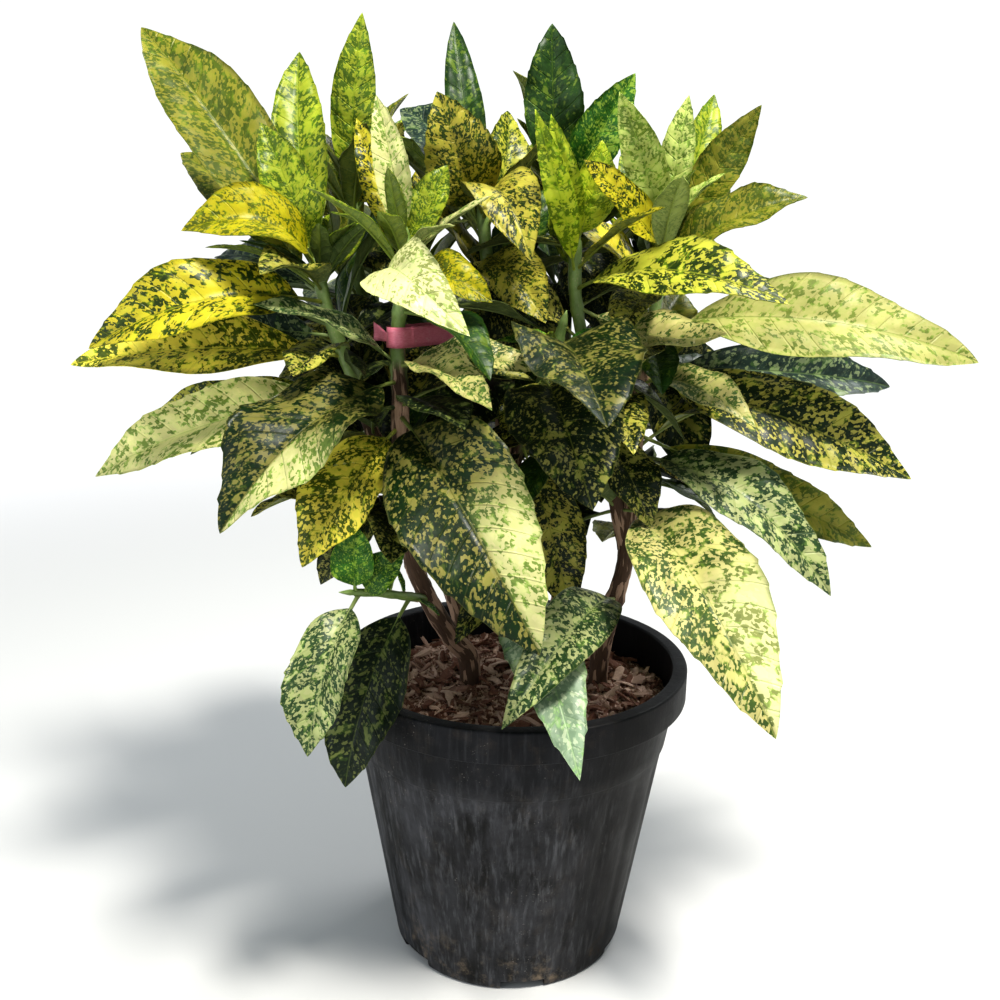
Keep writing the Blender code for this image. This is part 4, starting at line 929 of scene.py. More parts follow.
# %% List the colourings
Look = namedtuple("Look", "ground gold rarity")
LOOKS = {
    "dark": Look((0.006, 0.018, 0.004), (0.30, 0.28, 0.07), 0.50),
    "deep": Look((0.006, 0.014, 0.005), (0.15, 0.17, 0.05), 0.58),
    # painted shade and painted sky reflection: a dark, bluish colouring for leaves that stand in
    # shade and mirror the sky
    "blue": Look((0.016, 0.036, 0.026), (0.20, 0.25, 0.12), 0.56),
    "green": Look((0.021, 0.060, 0.009), (0.11, 0.16, 0.020), 0.60),
    "bright": Look((0.026, 0.105, 0.010), (0.26, 0.38, 0.045), 0.48),
    "dusted": Look((0.008, 0.020, 0.003), (0.40, 0.36, 0.07), 0.42),
    "shaded": Look((0.004, 0.016, 0.002), (0.20, 0.178, 0.046), 0.48),
    "speckled": Look((0.026, 0.050, 0.003), (0.46, 0.44, 0.05), 0.33),
    "moss": Look((0.026, 0.058, 0.018), (0.36, 0.38, 0.17), 0.42),
    "olive": Look((0.072, 0.102, 0.007), (0.27, 0.25, 0.030), 0.32),
    "khaki": Look((0.022, 0.040, 0.003), (0.40, 0.34, 0.048), 0.29),
    "bronze": Look((0.040, 0.044, 0.004), (0.60, 0.46, 0.05), 0.25),
    "streaked": Look((0.026, 0.046, 0.003), (0.50, 0.42, 0.024), 0.27),
    "sunny": Look((0.060, 0.085, 0.005), (0.85, 0.70, 0.09), 0.24),
    "golden": Look((0.080, 0.100, 0.004), (0.45, 0.38, 0.010), 0.24),
    "cream": Look((0.150, 0.215, 0.040), (0.62, 0.58, 0.27), 0.18),
    "butter": Look((0.190, 0.270, 0.045), (0.86, 0.80, 0.34), 0.16),
    "ivory": Look((0.300, 0.330, 0.100), (0.72, 0.70, 0.34), 0.12),
    "buff": Look((0.130, 0.165, 0.030), (0.43, 0.41, 0.145), 0.17),
    "lime": Look((0.150, 0.235, 0.010), (0.56, 0.62, 0.045), 0.30),
    "fresh": Look((0.080, 0.140, 0.008), (0.34, 0.38, 0.030), 0.32),
    "mint": Look((0.170, 0.250, 0.040), (0.60, 0.66, 0.20), 0.24),
    "pale": Look((0.060, 0.105, 0.022), (0.54, 0.48, 0.19), 0.26),
    # painted reflection: the leaf's colours made pale and grey-blue, standing for the sky's sheen
    # on it
    "silvery_sheen": Look((0.200, 0.275, 0.175), (0.42, 0.49, 0.32), 0.44),
}
HIGH_ABOVE, MIDDLE_ABOVE = 0.60, 0.42
HIGH_LOOKS = ("fresh", "olive", "streaked", "khaki", "green", "speckled")
MIDDLE_LOOKS = ("speckled", "dusted", "moss", "olive", "dark")
LOW_LOOKS = ("dark", "dusted", "moss", "deep", "dark")


def colouring(found, mark):
    """The leaf's one or two colourings; one that suits its height if it grew by rule."""
    if found.blade.leaf.look:
        return [LOOKS[name] for name in found.blade.leaf.look.split("/")]
    draw = random.Random(mark)
    height = found.blade.tip.z
    names = LOW_LOOKS
    if height > MIDDLE_ABOVE:
        names = HIGH_LOOKS if height > HIGH_ABOVE else MIDDLE_LOOKS
    return [LOOKS[draw.choice(names)]]


print("colourings:", len(LOOKS))

# %% [markdown]
# ## A fine leaf
# The coarse sheet has a few dozen triangles. The fine one is a grid that follows the same
# plan: rows run across the leaf and columns along it. Numpy works out every point of the
# grid at once. The blade swells a little between its side veins, as a laurel's does, and
# has small teeth between the large ones. The rows lie close together at both ends of the
# blade, and one lies at each corner of a tooth, so that no tooth is cut off.

# %% Set out the rows and the teeth
ROW_LENGTH, COLUMN_WIDTH, FEWEST_ROWS, FEWEST_COLUMNS = 0.0034, 0.0052, 16, 3
SMALL_FROM, SMALL_COARSER, ROWS_APART = 0.030, 1.35, 0.002
TOOTH_SIZE, TOOTH_RISE, TOOTH_FALL = 0.026, 0.045, 0.014
SMALL_TOOTH, TOOTH_NICK, TOOTH_SIZES = 0.6, 0.15, (0.25, 1.0)


def unit(vectors):
    return vectors / np.maximum(np.linalg.norm(vectors, axis=-1, keepdims=True), 1e-9)


def tooth_line(leaf, hand, size):
    """How far the margin stands out, as knots along the blade: teeth that point forward."""
    gap = TEETH_SPAN / max(leaf.teeth - 1, 1)
    large = [FIRST_TOOTH + gap * i + TOOTH_OFFSET * hand for i in range(leaf.teeth)]
    small = [b - gap * k for b in large for k in ((0.5,) if leaf.teeth > 2 else (0.33, 0.66))]
    knots = [(0.0, 0.0), (1.0, 0.0)]
    for height, places in ((size, large), (size * SMALL_TOOTH, small)):
        for b in places:
            knots += [(b - TOOTH_RISE, 0.0), (b, height), (b + TOOTH_FALL, -TOOTH_NICK * height)]
    return sorted(knots)


def row_shares(rows, lines):
    """Where the rows lie along the blade, from 0 to 1."""
    even = np.linspace(0.0, 1.0, rows)
    even = 0.6 * even + 0.4 * (0.5 - 0.5 * np.cos(np.pi * even))
    b = np.unique(np.round(np.concatenate(
        [even] + [[k for k, _ in lines[h]] for h in (-1, 1)]), 4))
    return b[np.concatenate([[True], np.diff(b) > ROWS_APART])]


def midrib_curve(blade, t):
    """The midrib's points at some shares of the leaf, and the way the face looks there."""
    root, bend, tip, side = (np.array(v) for v in (blade.root, blade.bend, blade.tip, blade.side))
    middle = root * (1 - t) ** 2 + bend * (2 * t * (1 - t)) + tip * t * t
    run = (bend - root) * (1 - t) + (tip - bend) * t
    return middle, unit(np.cross(side, run))


print("rows of a 170 mm leaf:", round(0.170 * (1 - PETIOLE_SHARE) / ROW_LENGTH))

# %% [markdown]
# ## The blade of a fine leaf
# Each column is one line along the blade, from the left margin over the midrib to the right
# one. It starts from the midrib's curve, goes out by its share of the half-width and rises
# with the fold, the ripple of the margin and the swelling between the veins. What the finish
# will need is worked out on the way: each point's place on the leaf, measured in veins so
# that a small leaf has finer marks, and its share out to the margin.

# %% Grow one fine blade
VEIN_SLANT, VEIN_CURL, VEIN_SPACING = 0.60, 5.0, 0.0155
FEWEST_VEINS, LEAF_PER_VEIN = 5, 0.035
SWELL, SWELLS, DOME = 0.0015, (0.7, 1.3), 0.04
TIP_WIDTH, RIPPLE_FADE, RIPPLE_POWER = 0.0015, 5.2, 1.6


def leaf_scale(length):
    """What makes the marks and veins of a small leaf finer than those of a large one."""
    return VEIN_SPACING * round(FEWEST_VEINS + length / LEAF_PER_VEIN) / length


def vein_count(along, across):
    """How many side veins lie between the leaf's base and a place; whole on a vein."""
    across = np.abs(across)
    return (along - VEIN_SLANT * across - VEIN_CURL * across ** 2) / VEIN_SPACING


def fine_blade(blade):
    """Points of the two faces, and for each: place on the leaf, and share out to the margin."""
    leaf = blade.leaf
    length = blade.length * (1 - PETIOLE_SHARE)
    coarser = SMALL_COARSER if leaf.width < SMALL_FROM else 1.0
    rows = max(FEWEST_ROWS, round(length / ROW_LENGTH / coarser))
    half_columns = max(FEWEST_COLUMNS, round(leaf.width / 2 / COLUMN_WIDTH / coarser))
    scale = leaf_scale(length)
    draw = random.Random(blade.phase)
    tooth = TOOTH_SIZE * draw.uniform(*TOOTH_SIZES)
    lines = {hand: tooth_line(leaf, hand, tooth) for hand in (-1, 1)}
    wrinkles = SWELL * draw.uniform(*SWELLS)
    b = row_shares(rows, lines)
    middle, normal = midrib_curve(blade, on_blade(b)[:, None])
    width, side = blade.half_width(b), np.array(blade.side)
    sheet, place, outward = [], [], []
    for j in range(-half_columns, half_columns + 1):
        hand, s = (1 if j >= 0 else -1), abs(j) / half_columns
        teeth = np.interp(b, *zip(*lines[hand]))
        half = np.maximum(width + teeth * leaf.width, TIP_WIDTH * (1 - b))
        ripple = blade.wave * np.sin(blade.waves * FULL_TURN * b + blade.phase + 1.9 * hand)
        ripple *= np.minimum(1.0, RIPPLE_FADE * b * (1 - b)) * s ** RIPPLE_POWER
        along, across = b * length, half * s * hand
        swell = np.abs(np.sin(np.pi * vein_count(along * scale, across * scale))) ** 0.6
        swell *= wrinkles * np.sin(np.pi * min(s * 1.05, 1.0)) * np.minimum(1, 6 * b) * np.minimum(
            1, 4 * (1 - b))
        dome = DOME * half * math.sin(np.pi * s)
        rise = half * s * math.sin(blade.fold) + ripple + swell + dome
        sheet.append(middle + side * (hand * half * s * math.cos(blade.fold))[:, None]
                     + normal * rise[:, None])
        place.append(np.stack([along * scale, across * scale, np.zeros_like(b)], 1))
        outward.append(np.full_like(b, s))
    sheet, place, outward = (np.stack(v, 1) for v in (sheet, place, outward))
    face = unit(np.cross(np.gradient(sheet, axis=1), np.gradient(sheet, axis=0)))
    face = np.where((face * normal[:, None]).sum(-1, keepdims=True) < 0, -face, face)
    return sheet, face, place, outward


print("most swelling of a blade:", SWELL * SWELLS[1], "m")

# %% [markdown]
# ## Two faces and a margin
# The real blade is a thin solid, and so is this one. Its grid is copied to two faces that
# are 0.6 mm apart, and a strip of four-sided faces closes the gap round the margin. The
# upper face and the strip take one finish and the back takes another.

# %% Thicken a blade
BLADE_THICKNESS = 0.0006
TOP, BACK, RIB = 0, 1, 2


def grid_faces(rows, columns, first, flip):
    """Four-sided faces between the points of a grid, turned over if asked."""
    a = first + np.arange(rows - 1)[:, None] * columns + np.arange(columns - 1)[None, :]
    quads = np.stack([a, a + 1, a + columns + 1, a + columns], -1).reshape(-1, 4)
    return quads[:, ::-1] if flip else quads


def margin_loop(rows, columns):
    """The grid's outer points in order, for the strip that closes the margin."""
    left = [r * columns for r in range(rows)]
    right = [r * columns + columns - 1 for r in range(rows)]
    base, end = list(range(columns)), list(range((rows - 1) * columns, rows * columns))
    return base + right[1:] + end[::-1][1:] + left[::-1][1:-1]


def two_faces(sheet, face):
    """A blade as a thin solid: its points, its polygons and the finish of each."""
    rows, columns = sheet.shape[:2]
    half, count = face * BLADE_THICKNESS / 2, rows * columns
    verts = np.concatenate([(sheet + half).reshape(-1, 3), (sheet - half).reshape(-1, 3)])
    top, back = grid_faces(rows, columns, 0, False), grid_faces(rows, columns, count, True)
    inner = verts[top[9]]
    if np.dot(np.cross(inner[1] - inner[0], inner[3] - inner[0]), face[2, 2]) < 0:
        top, back = top[:, ::-1], back[:, ::-1]
    loop = margin_loop(rows, columns)
    strip = [(a, b, b + count, a + count) for a, b in zip(loop, loop[1:] + loop[:1])]
    slots = [TOP] * len(top) + [BACK] * len(back) + [TOP] * len(strip)
    return verts, list(top) + list(back) + strip, slots


print("thickness of a blade:", BLADE_THICKNESS, "m")

# %% [markdown]
# ## The rod along the midrib
# A ring of points is carried along the midrib's curve. At the stem it is the round petiole;
# under the blade it sinks into the back of the leaf and thins towards the tip. The radii are
# given at a few shares of the leaf, and numpy fills in between them.

# %% Grow the midrib's rod
RIB_SIDES = 6
RIB_SHARES = (0.0, 0.05, PETIOLE_SHARE, 0.4, 1.0)
RIB_RADII = (0.0023, 0.0017, 0.0015, 0.0009, 0.0003)
SUNK_SHARES, SUNK_DEPTHS = (0.0, PETIOLE_SHARE, 0.3, 1.0), (0.0, 0.3, 0.75, 0.8)


def rod(centres, radii, sides, hint):
    """Points and faces of a round rod along a line, closed to a point at both ends."""
    centres, radii = np.asarray(centres, float), np.asarray(radii, float)
    ahead = unit(np.gradient(centres, axis=0))
    across = unit(np.cross(ahead, np.asarray(hint, float)))
    over = np.cross(across, ahead)
    turn = np.linspace(0, 2 * np.pi, sides, endpoint=False)
    ring = (across[:, None] * np.cos(turn)[None, :, None]
            + over[:, None] * np.sin(turn)[None, :, None])
    points = (centres[:, None] + ring * radii[:, None, None]).reshape(-1, 3)
    verts = np.concatenate([points, centres[:1], centres[-1:]])
    count = len(centres)
    faces = []
    for i in range(count - 1):
        for k in range(sides):
            n = (k + 1) % sides
            faces.append((i * sides + k, (i + 1) * sides + k, (i + 1) * sides + n,
                          i * sides + n))
    last = (count - 1) * sides
    for k in range(sides):
        n = (k + 1) % sides
        faces.append((count * sides, k, n))
        faces.append((count * sides + 1, last + n, last + k))
    return verts, faces


def midrib_rod(blade):
    """The petiole and midrib of one leaf, thicker on a wide leaf."""
    t = np.concatenate([np.linspace(0, PETIOLE_SHARE, 4), np.linspace(0.2, 0.96, 12)])
    middle, normal = midrib_curve(blade, t[:, None])
    size = 0.75 + 3.0 * blade.leaf.width
    radii = np.interp(t, RIB_SHARES, np.array(RIB_RADII) * size)
    sunk = np.interp(t, SUNK_SHARES, SUNK_DEPTHS) * radii
    return rod(middle - normal * sunk[:, None], radii, RIB_SIDES, blade.side)


print("sides of the rod:", RIB_SIDES)

# %% [markdown]
# ## One piece of leaves for each shoot
# All leaves of a shoot become one piece, because they move together. What differs from leaf
# to leaf (its two colours, its place across the blade, its seed) is stored on the points as
# attributes, so one material can draw them all. Every leaf also gets a slightly lighter or
# darker ground and gold than its colouring says, so that no two look the same.

# %% Gather the leaves of each shoot
# painted highlight: on a leaf with two colourings, the right half towards the tip takes the paler
# second colouring, standing for the sun's glare
GLARE_FROM, GLARE_FULL, GLARE_MARGIN = 0.42, 0.62, 0.003
SEED_PLACES, RARITY_SHIFT = 40, 0.04
GROUND_SHADES, GOLD_SHADES = (0.85, 1.2), (0.88, 1.06)


def glare_share(place, blade):
    """Painted highlight: 0 on a leaf's left half, rising to 1 on the outer part of its right half.
    """
    right = 1.0 if blade.side.x > 0 else -1.0
    along = place[:, 0] / place[:, 0].max()
    aside = np.clip(place[:, 1] * right / GLARE_MARGIN, 0, 1)
    return aside * np.clip((along - GLARE_FROM) / (GLARE_FULL - GLARE_FROM), 0, 1)


def point_colours(looks, pale, outward, draw):
    """Each point's ground with how rare the marks are, and its gold with the way out."""
    first, second = looks[0], looks[-1]
    shift = draw.uniform(-RARITY_SHIFT, RARITY_SHIFT)
    # pale is the share of painted highlight, which mixes in the paler second colouring
    ground = (1 - pale) * (*first.ground, first.rarity) + pale * (
        *second.ground, second.rarity) + (0.0, 0.0, 0.0, shift)
    ground[:, :3] *= draw.uniform(*GROUND_SHADES)
    gold = (1 - pale) * (*first.gold, 0.0) + pale * (*second.gold, 0.0)
    gold[:, :3] *= draw.uniform(*GOLD_SHADES)
    gold[:, 3] = outward.reshape(-1)
    return ground, gold


class LeafPile:
    """Collects leaves' points, faces and attributes for one piece."""

    def __init__(self):
        self.verts, self.faces, self.slots = [], [], []
        self.place, self.ground, self.gold = [], [], []
        self.count = 0

    def add(self, verts, faces, slot, place, ground, gold):
        self.faces += [tuple(int(i) + self.count for i in face) for face in faces]
        self.slots += list(slot)
        self.verts.append(verts)
        self.place.append(place)
        self.ground.append(ground)
        self.gold.append(gold)
        self.count += len(verts)

    def add_leaf(self, found, mark):
        blade, draw = found.blade, random.Random(mark + 5)
        sheet, face, place, outward = fine_blade(blade)
        place = place.reshape(-1, 3).copy()
        place[:, 2] = draw.uniform(0, SEED_PLACES)
        # painted highlight: the share of sun glare painted on the right half of a two-colouring
        # leaf
        pale = glare_share(place, blade)[:, None]
        ground, gold = point_colours(colouring(found, mark), pale, outward, draw)
        self.add(*two_faces(sheet, face), *(np.tile(v, (2, 1)) for v in (place, ground, gold)))
        verts, faces = midrib_rod(blade)
        far = len(verts)
        self.add(verts, faces, [RIB] * len(faces), np.zeros((far, 3)),
                 np.tile(ground[:1], (far, 1)), np.tile(gold[:1], (far, 1)))

    def piece(self, name, materials, stands_for):
        item = new_piece(name, np.concatenate(self.verts).tolist(), self.faces, materials,
                         stands_for)
        item.data.polygons.foreach_set("material_index", np.array(self.slots, np.int32))
        note_on_points(item, "leaf_place", "FLOAT_VECTOR", np.concatenate(self.place))
        note_on_points(item, "leaf_ground", "FLOAT_COLOR", np.concatenate(self.ground))
        note_on_points(item, "leaf_gold", "FLOAT_COLOR", np.concatenate(self.gold))
        return item


print("leaves with two colourings:", sum("/" in leaf.look for leaf in SEEN_LEAVES))

# %% [markdown]
# ## Where a point lies on its leaf
# A finish could be drawn in the plant's own X, Y and Z, but then marks would cut across the
# leaves like a printed cloth. So it reads the place that was noted on each point: along the
# leaf, across it, and a third number that no two leaves share. The place is also slanted the
# way that the side veins run, and warped a little so that edges come out ragged.

# %% Find the place on a leaf
MARK_SLANT = 0.5


def leaf_coordinates(tree):
    """Place on the leaf: along, across from the midrib, and squeezed so cells follow veins."""
    place = node(tree, "Attribute", attribute_name="leaf_place", out="Vector")
    split = node(tree, "SeparateXYZ", {0: place}, out="X").node.outputs
    across = sums(tree, "ABSOLUTE", split["Y"])
    lean = times_plus(tree, times(tree, across, across), VEIN_CURL,
                      times(tree, across, VEIN_SLANT))
    slanted = sums(tree, "SUBTRACT", split["X"], lean)
    along = times_plus(tree, lean, -MARK_SLANT, split["X"])
    spot = node(tree, "CombineXYZ", {0: along, 1: split["Y"], 2: split["Z"]})
    return spot, slanted, across


def warped(tree, spot, scale, amount):
    """The place pushed about by fine noise, so that cells get ragged edges."""
    noise = node(tree, "TexNoise", {"Vector": spot, "Scale": scale, "Detail": 2.0}, out="Color")
    shift = node(tree, "VectorMath", {0: noise, 1: (0.5, 0.5, 0.5)}, operation="SUBTRACT")
    shift = node(tree, "VectorMath", {0: shift, "Scale": amount}, operation="SCALE")
    return node(tree, "VectorMath", {0: spot, 1: shift}, operation="ADD")


LeafColours = namedtuple("LeafColours", "ground rarity gold outward soft")


def leaf_colours(tree):
    """What was noted on the points; soft is 1 on the light ground of a young leaf."""
    ground = node(tree, "Attribute", attribute_name="leaf_ground", out="Color")
    gold = node(tree, "Attribute", attribute_name="leaf_gold", out="Color")
    green = node(tree, "SeparateColor", {0: ground}, out="Green")
    return LeafColours(ground, ground.node.outputs["Alpha"], gold, gold.node.outputs["Alpha"],
                       band(tree, green, 0.04, 0.14))


print("slant of the marks, as a share of the veins':", MARK_SLANT)

# %% [markdown]
# ## Gold marks
# The gold marks of a laurel are angular, because each fills the small island between fine
# veins, and they come in two sizes that run out along the side veins. A Voronoi texture is
# made of such islands: each cell has one random number, and where the number is high enough
# the cell is gold. Cloudy noise is added so that marks gather in patches, and a slightly
# lower limit gives the mid-green edge round them. The leaf's own numbers set the limit, and
# on a leaf with a light ground, which is a young one, the marks fade into the ground.

# %% Draw the gold marks
RAGGED_CLOUD, RAGGED_BY = 520.0, 0.0014
SPECK_CELLS, GRAIN_CELLS, DUST_CELLS = 500.0, 300.0, 1000.0
PATCH_CLOUD, BROAD_CLOUD = 95.0, 24.0
FLECK_CELLS, FLECK_CLOUD = 380.0, 60.0
FLECK_SHADE, GREENER_GOLD = (0.36, 0.48, 0.40, 1.0), (0.72, 0.88, 0.60, 1.0)


def leaf_marks(tree, spot, rarity, soft):
    """Shares of gold patches, of small specks, of the mid-green edge, and a random grain."""
    ragged = warped(tree, spot, RAGGED_CLOUD, RAGGED_BY)
    grain = cells(tree, ragged, GRAIN_CELLS)
    broad = sums(tree, "SUBTRACT", cloud(tree, spot, BROAD_CLOUD), 0.5)
    value = times_plus(tree, grain, 0.10, cloud(tree, ragged, PATCH_CLOUD, 2.0))
    value = times_plus(tree, broad, 0.30, value)
    over = sums(tree, "SUBTRACT", value, times_plus(tree, rarity, 0.28, 0.54))
    patch = band(tree, over, times_plus(tree, soft, -0.040, -0.004),
                 times_plus(tree, soft, 0.050, 0.010))
    edge = band(tree, over, -0.075, -0.006)
    value = times_plus(tree, broad, 0.9, cells(tree, ragged, SPECK_CELLS))
    limit = times_plus(tree, rarity, 0.85, 0.33)
    speck = band(tree, sums(tree, "SUBTRACT", value, limit), 0.0, 0.02)
    dust = band(tree, cells(tree, ragged, DUST_CELLS), 0.90, 0.92)
    dust = times(tree, dust, band(tree, rarity, 0.75, 0.35))
    return patch, sums(tree, "MAXIMUM", speck, times(tree, dust, 0.7)), edge, grain


def dappled(tree, spot, ground, mid, gold, marks, soft):
    """The leaf's colour: ground with darker flecks, mid-green edges, specks and patches."""
    patch, speck, edge, grain = marks
    fleck = times_plus(tree, cells(tree, spot, FLECK_CELLS), 0.4, cloud(tree, spot, FLECK_CLOUD))
    fleck = times(tree, band(tree, fleck, 0.70, 0.76), times_plus(tree, soft, -0.30, 0.62))
    dark = tint(tree, 1.0, ground, FLECK_SHADE, "MULTIPLY")
    colour = tint(tree, fleck, ground, dark)
    colour = tint(tree, times(tree, edge, 0.75), colour, mid)
    colour = tint(tree, speck, colour, tint(tree, 0.80, ground, gold))
    greener = tint(tree, 1.0, gold, GREENER_GOLD, "MULTIPLY")
    return tint(tree, patch, colour, tint(tree, times(tree, grain, 0.5), gold, greener))


print("specks to a metre:", SPECK_CELLS)

# %% [markdown]
# ## The upper face
# The upper face is leathery, with a soft sheen. Veins and midrib are fine pale lines that lie
# a little sunk, and the margin is pale too. A line is drawn where the distance from the
# nearest vein, counted in whole veins, is close to 0. The same lines feed the relief, so the
# light catches them where the colour is.

# %% Finish the upper face
VEIN_WIDTH, BACK_VEIN_WIDTH = 0.0010, 0.0009
EDGE_GREEN = (0.76, 1.12, 0.50, 1.0)
SHEEN, COAT, COAT_ROUGHNESS = 0.20, 0.09, 0.33


def vein_lines(tree, slanted, across, spacing, width):
    """1 on a side vein's line, 0 between."""
    turns = sums(tree, "DIVIDE", slanted, spacing)
    off = sums(tree, "PINGPONG", turns, 0.5)
    line = sums(tree, "SUBTRACT", 1.0, band(tree, off, 0.0, width / spacing))
    return times(tree, line, band(tree, across, 0.0, 0.002))


def upper_face():
    material, tree, shader = finish("leaf_upper_face")
    spot, slanted, across = leaf_coordinates(tree)
    leaf = leaf_colours(tree)
    mid = tint(tree, 0.36, leaf.ground, leaf.gold)
    mid = tint(tree, 1.0, mid, EDGE_GREEN, "MULTIPLY")
    marks = leaf_marks(tree, spot, leaf.rarity, leaf.soft)
    colour = dappled(tree, spot, leaf.ground, mid, leaf.gold, marks, leaf.soft)
    shade = node(tree, "MapRange", {0: cloud(tree, spot, 45.0, 3.0), 1: 0.3, 2: 0.7, 3: 0.80,
                                    4: 1.16})
    colour = tint(tree, 1.0, colour, node(tree, "CombineColor", {0: shade, 1: shade, 2: shade}),
                  "MULTIPLY")
    veins = vein_lines(tree, slanted, across, VEIN_SPACING, VEIN_WIDTH)
    pale = tint(tree, 0.4, mid, leaf.gold)
    colour = tint(tree, times(tree, veins, 0.16), colour, pale)
    midrib = sums(tree, "SUBTRACT", 1.0, band(tree, across, 0.0003, 0.0009))
    colour = tint(tree, times(tree, midrib, 0.5), colour, pale)
    rim = band(tree, leaf.outward, 0.965, 0.995)
    colour = tint(tree, times(tree, rim, 0.4), colour, pale)
    grain = cloud(tree, spot, 1500.0, 2.0)
    height = sums(tree, "SUBTRACT", times(tree, grain, 0.12), veins)
    height = sums(tree, "SUBTRACT", height, times(tree, midrib, 0.8))
    height = times_plus(tree, cloud(tree, spot, 160.0, 2.0), 0.9, height)
    gloss = node(tree, "MapRange", {0: cloud(tree, spot, 120.0, 2.0), 1: 0.3, 2: 0.7, 3: 0.36,
                                    4: 0.50})
    feed_shader(tree, shader, base_color=colour, roughness=gloss,
                normal=relief(tree, height, 0.0008, 0.60))
    shader.inputs["Specular IOR Level"].default_value = SHEEN
    feed_shader(tree, shader, coat_weight=COAT, coat_roughness=COAT_ROUGHNESS)
    return material


UPPER_FACE = upper_face()
print("finish:", UPPER_FACE.name)

# %% [markdown]
# ## The back and the midrib
# A laurel's leaf is paler and duller below, its veins stand out, and the marks show faintly
# through. The petiole and the midrib's rod take their green from the leaf that they carry.

# %% Finish the back and the midrib
BACK_GROUND, BACK_GOLD = (0.20, 0.27, 0.10, 1.0), (0.26, 0.32, 0.12, 1.0)
BACK_VEIN = (0.36, 0.42, 0.18, 1.0)
RIB_GREEN, RIB_STREAK = (0.28, 0.36, 0.09, 1.0), (0.16, 0.24, 0.05, 1.0)


def under_face():
    """The back of a leaf: paler, duller, with the marks showing faintly through."""
    material, tree, shader = finish("leaf_under_face")
    spot, slanted, across = leaf_coordinates(tree)
    leaf = leaf_colours(tree)
    base = tint(tree, 0.55, leaf.ground, BACK_GROUND)
    lit = tint(tree, 0.45, leaf.gold, BACK_GOLD)
    mid = tint(tree, 0.3, base, lit)
    marks = leaf_marks(tree, spot, leaf.rarity, leaf.soft)
    colour = dappled(tree, spot, base, mid, lit, marks, leaf.soft)
    colour = tint(tree, 0.4, colour, mid)
    veins = vein_lines(tree, slanted, across, VEIN_SPACING, BACK_VEIN_WIDTH)
    colour = tint(tree, times(tree, veins, 0.4), colour, BACK_VEIN)
    height = times_plus(tree, cloud(tree, spot, 300.0, 2.0), 0.6, veins)
    feed_shader(tree, shader, base_color=colour, roughness=0.52,
                normal=relief(tree, height, 0.0006, 0.6))
    return material


def midrib_finish():
    material, tree, shader = finish("petiole_and_midrib")
    leaf = leaf_colours(tree)
    place = node(tree, "NewGeometry", out="Position")
    colour = tint(tree, 0.45, tint(tree, 0.45, leaf.ground, leaf.gold), RIB_GREEN)
    streak = band(tree, cloud(tree, place, 240.0, 2.0), 0.35, 0.65)
    colour = tint(tree, times(tree, streak, 0.4), colour, RIB_STREAK)
    feed_shader(tree, shader, base_color=colour, roughness=0.38,
                normal=relief(tree, cloud(tree, place, 900.0), 0.0003, 0.3))
    return material


LEAF_FINISHES = (UPPER_FACE, under_face(), midrib_finish())
print("finishes of a leaf:", ", ".join(material.name for material in LEAF_FINISHES))

# %% [markdown]
# ## All the leaves
# Every settled leaf is now grown finely into the pile of its shoot, and each pile becomes one
# piece that stands for the CAD model's leafy stem.

# %% Grow all the leaves
PILES = {}
for mark, found in enumerate(GROWN):
    PILES.setdefault(found.blade.leaf.stem, LeafPile()).add_leaf(found, mark)
for stem_name, pile in PILES.items():
    leaves = pile.piece(f"leaves_{stem_name}", LEAF_FINISHES, [STEMS[stem_name].piece])
    print(leaves.name, len(leaves.data.polygons), "faces")

# %% [markdown]
# ## Bark and green wood
# Old laurel stems are brown, with thin bark that splits and peels to a pinkish tan; young
# shoots are green and smooth, with a ring where each pair of leaves grew. The stems are the
# same rods as the midribs, thicker, swollen at the rings and closed by a pointed bud. An
# attribute says how old the wood is, and the finish turns from green to brown by it.

# %% Shape the woody stems
STEM_SIDES, STEM_STEPS = 20, 8
BUD_LENGTH, BUD_SHARES = 0.016, (0.12, 0.3, 0.55, 0.8, 1.0)
BUD_RADII = (0.85, 0.95, 0.72, 0.4, 0.1)
RING_SWELL, RING_HEIGHT = 0.22, 0.0035
BARK_ROUGHNESS, GREENING, TURN_RADIUS = 0.00028, 0.10, 0.008
GREEN_FROM = {"front": 0.50, "left": 0.47, "low": 0.30, "right": 0.49, "centre": 0.46,
              "middle": 0.50, "inner": 0.44, "back_left": 0.50, "back_outer": 0.46,
              "back_right": 0.50, "back_side": 0.46}


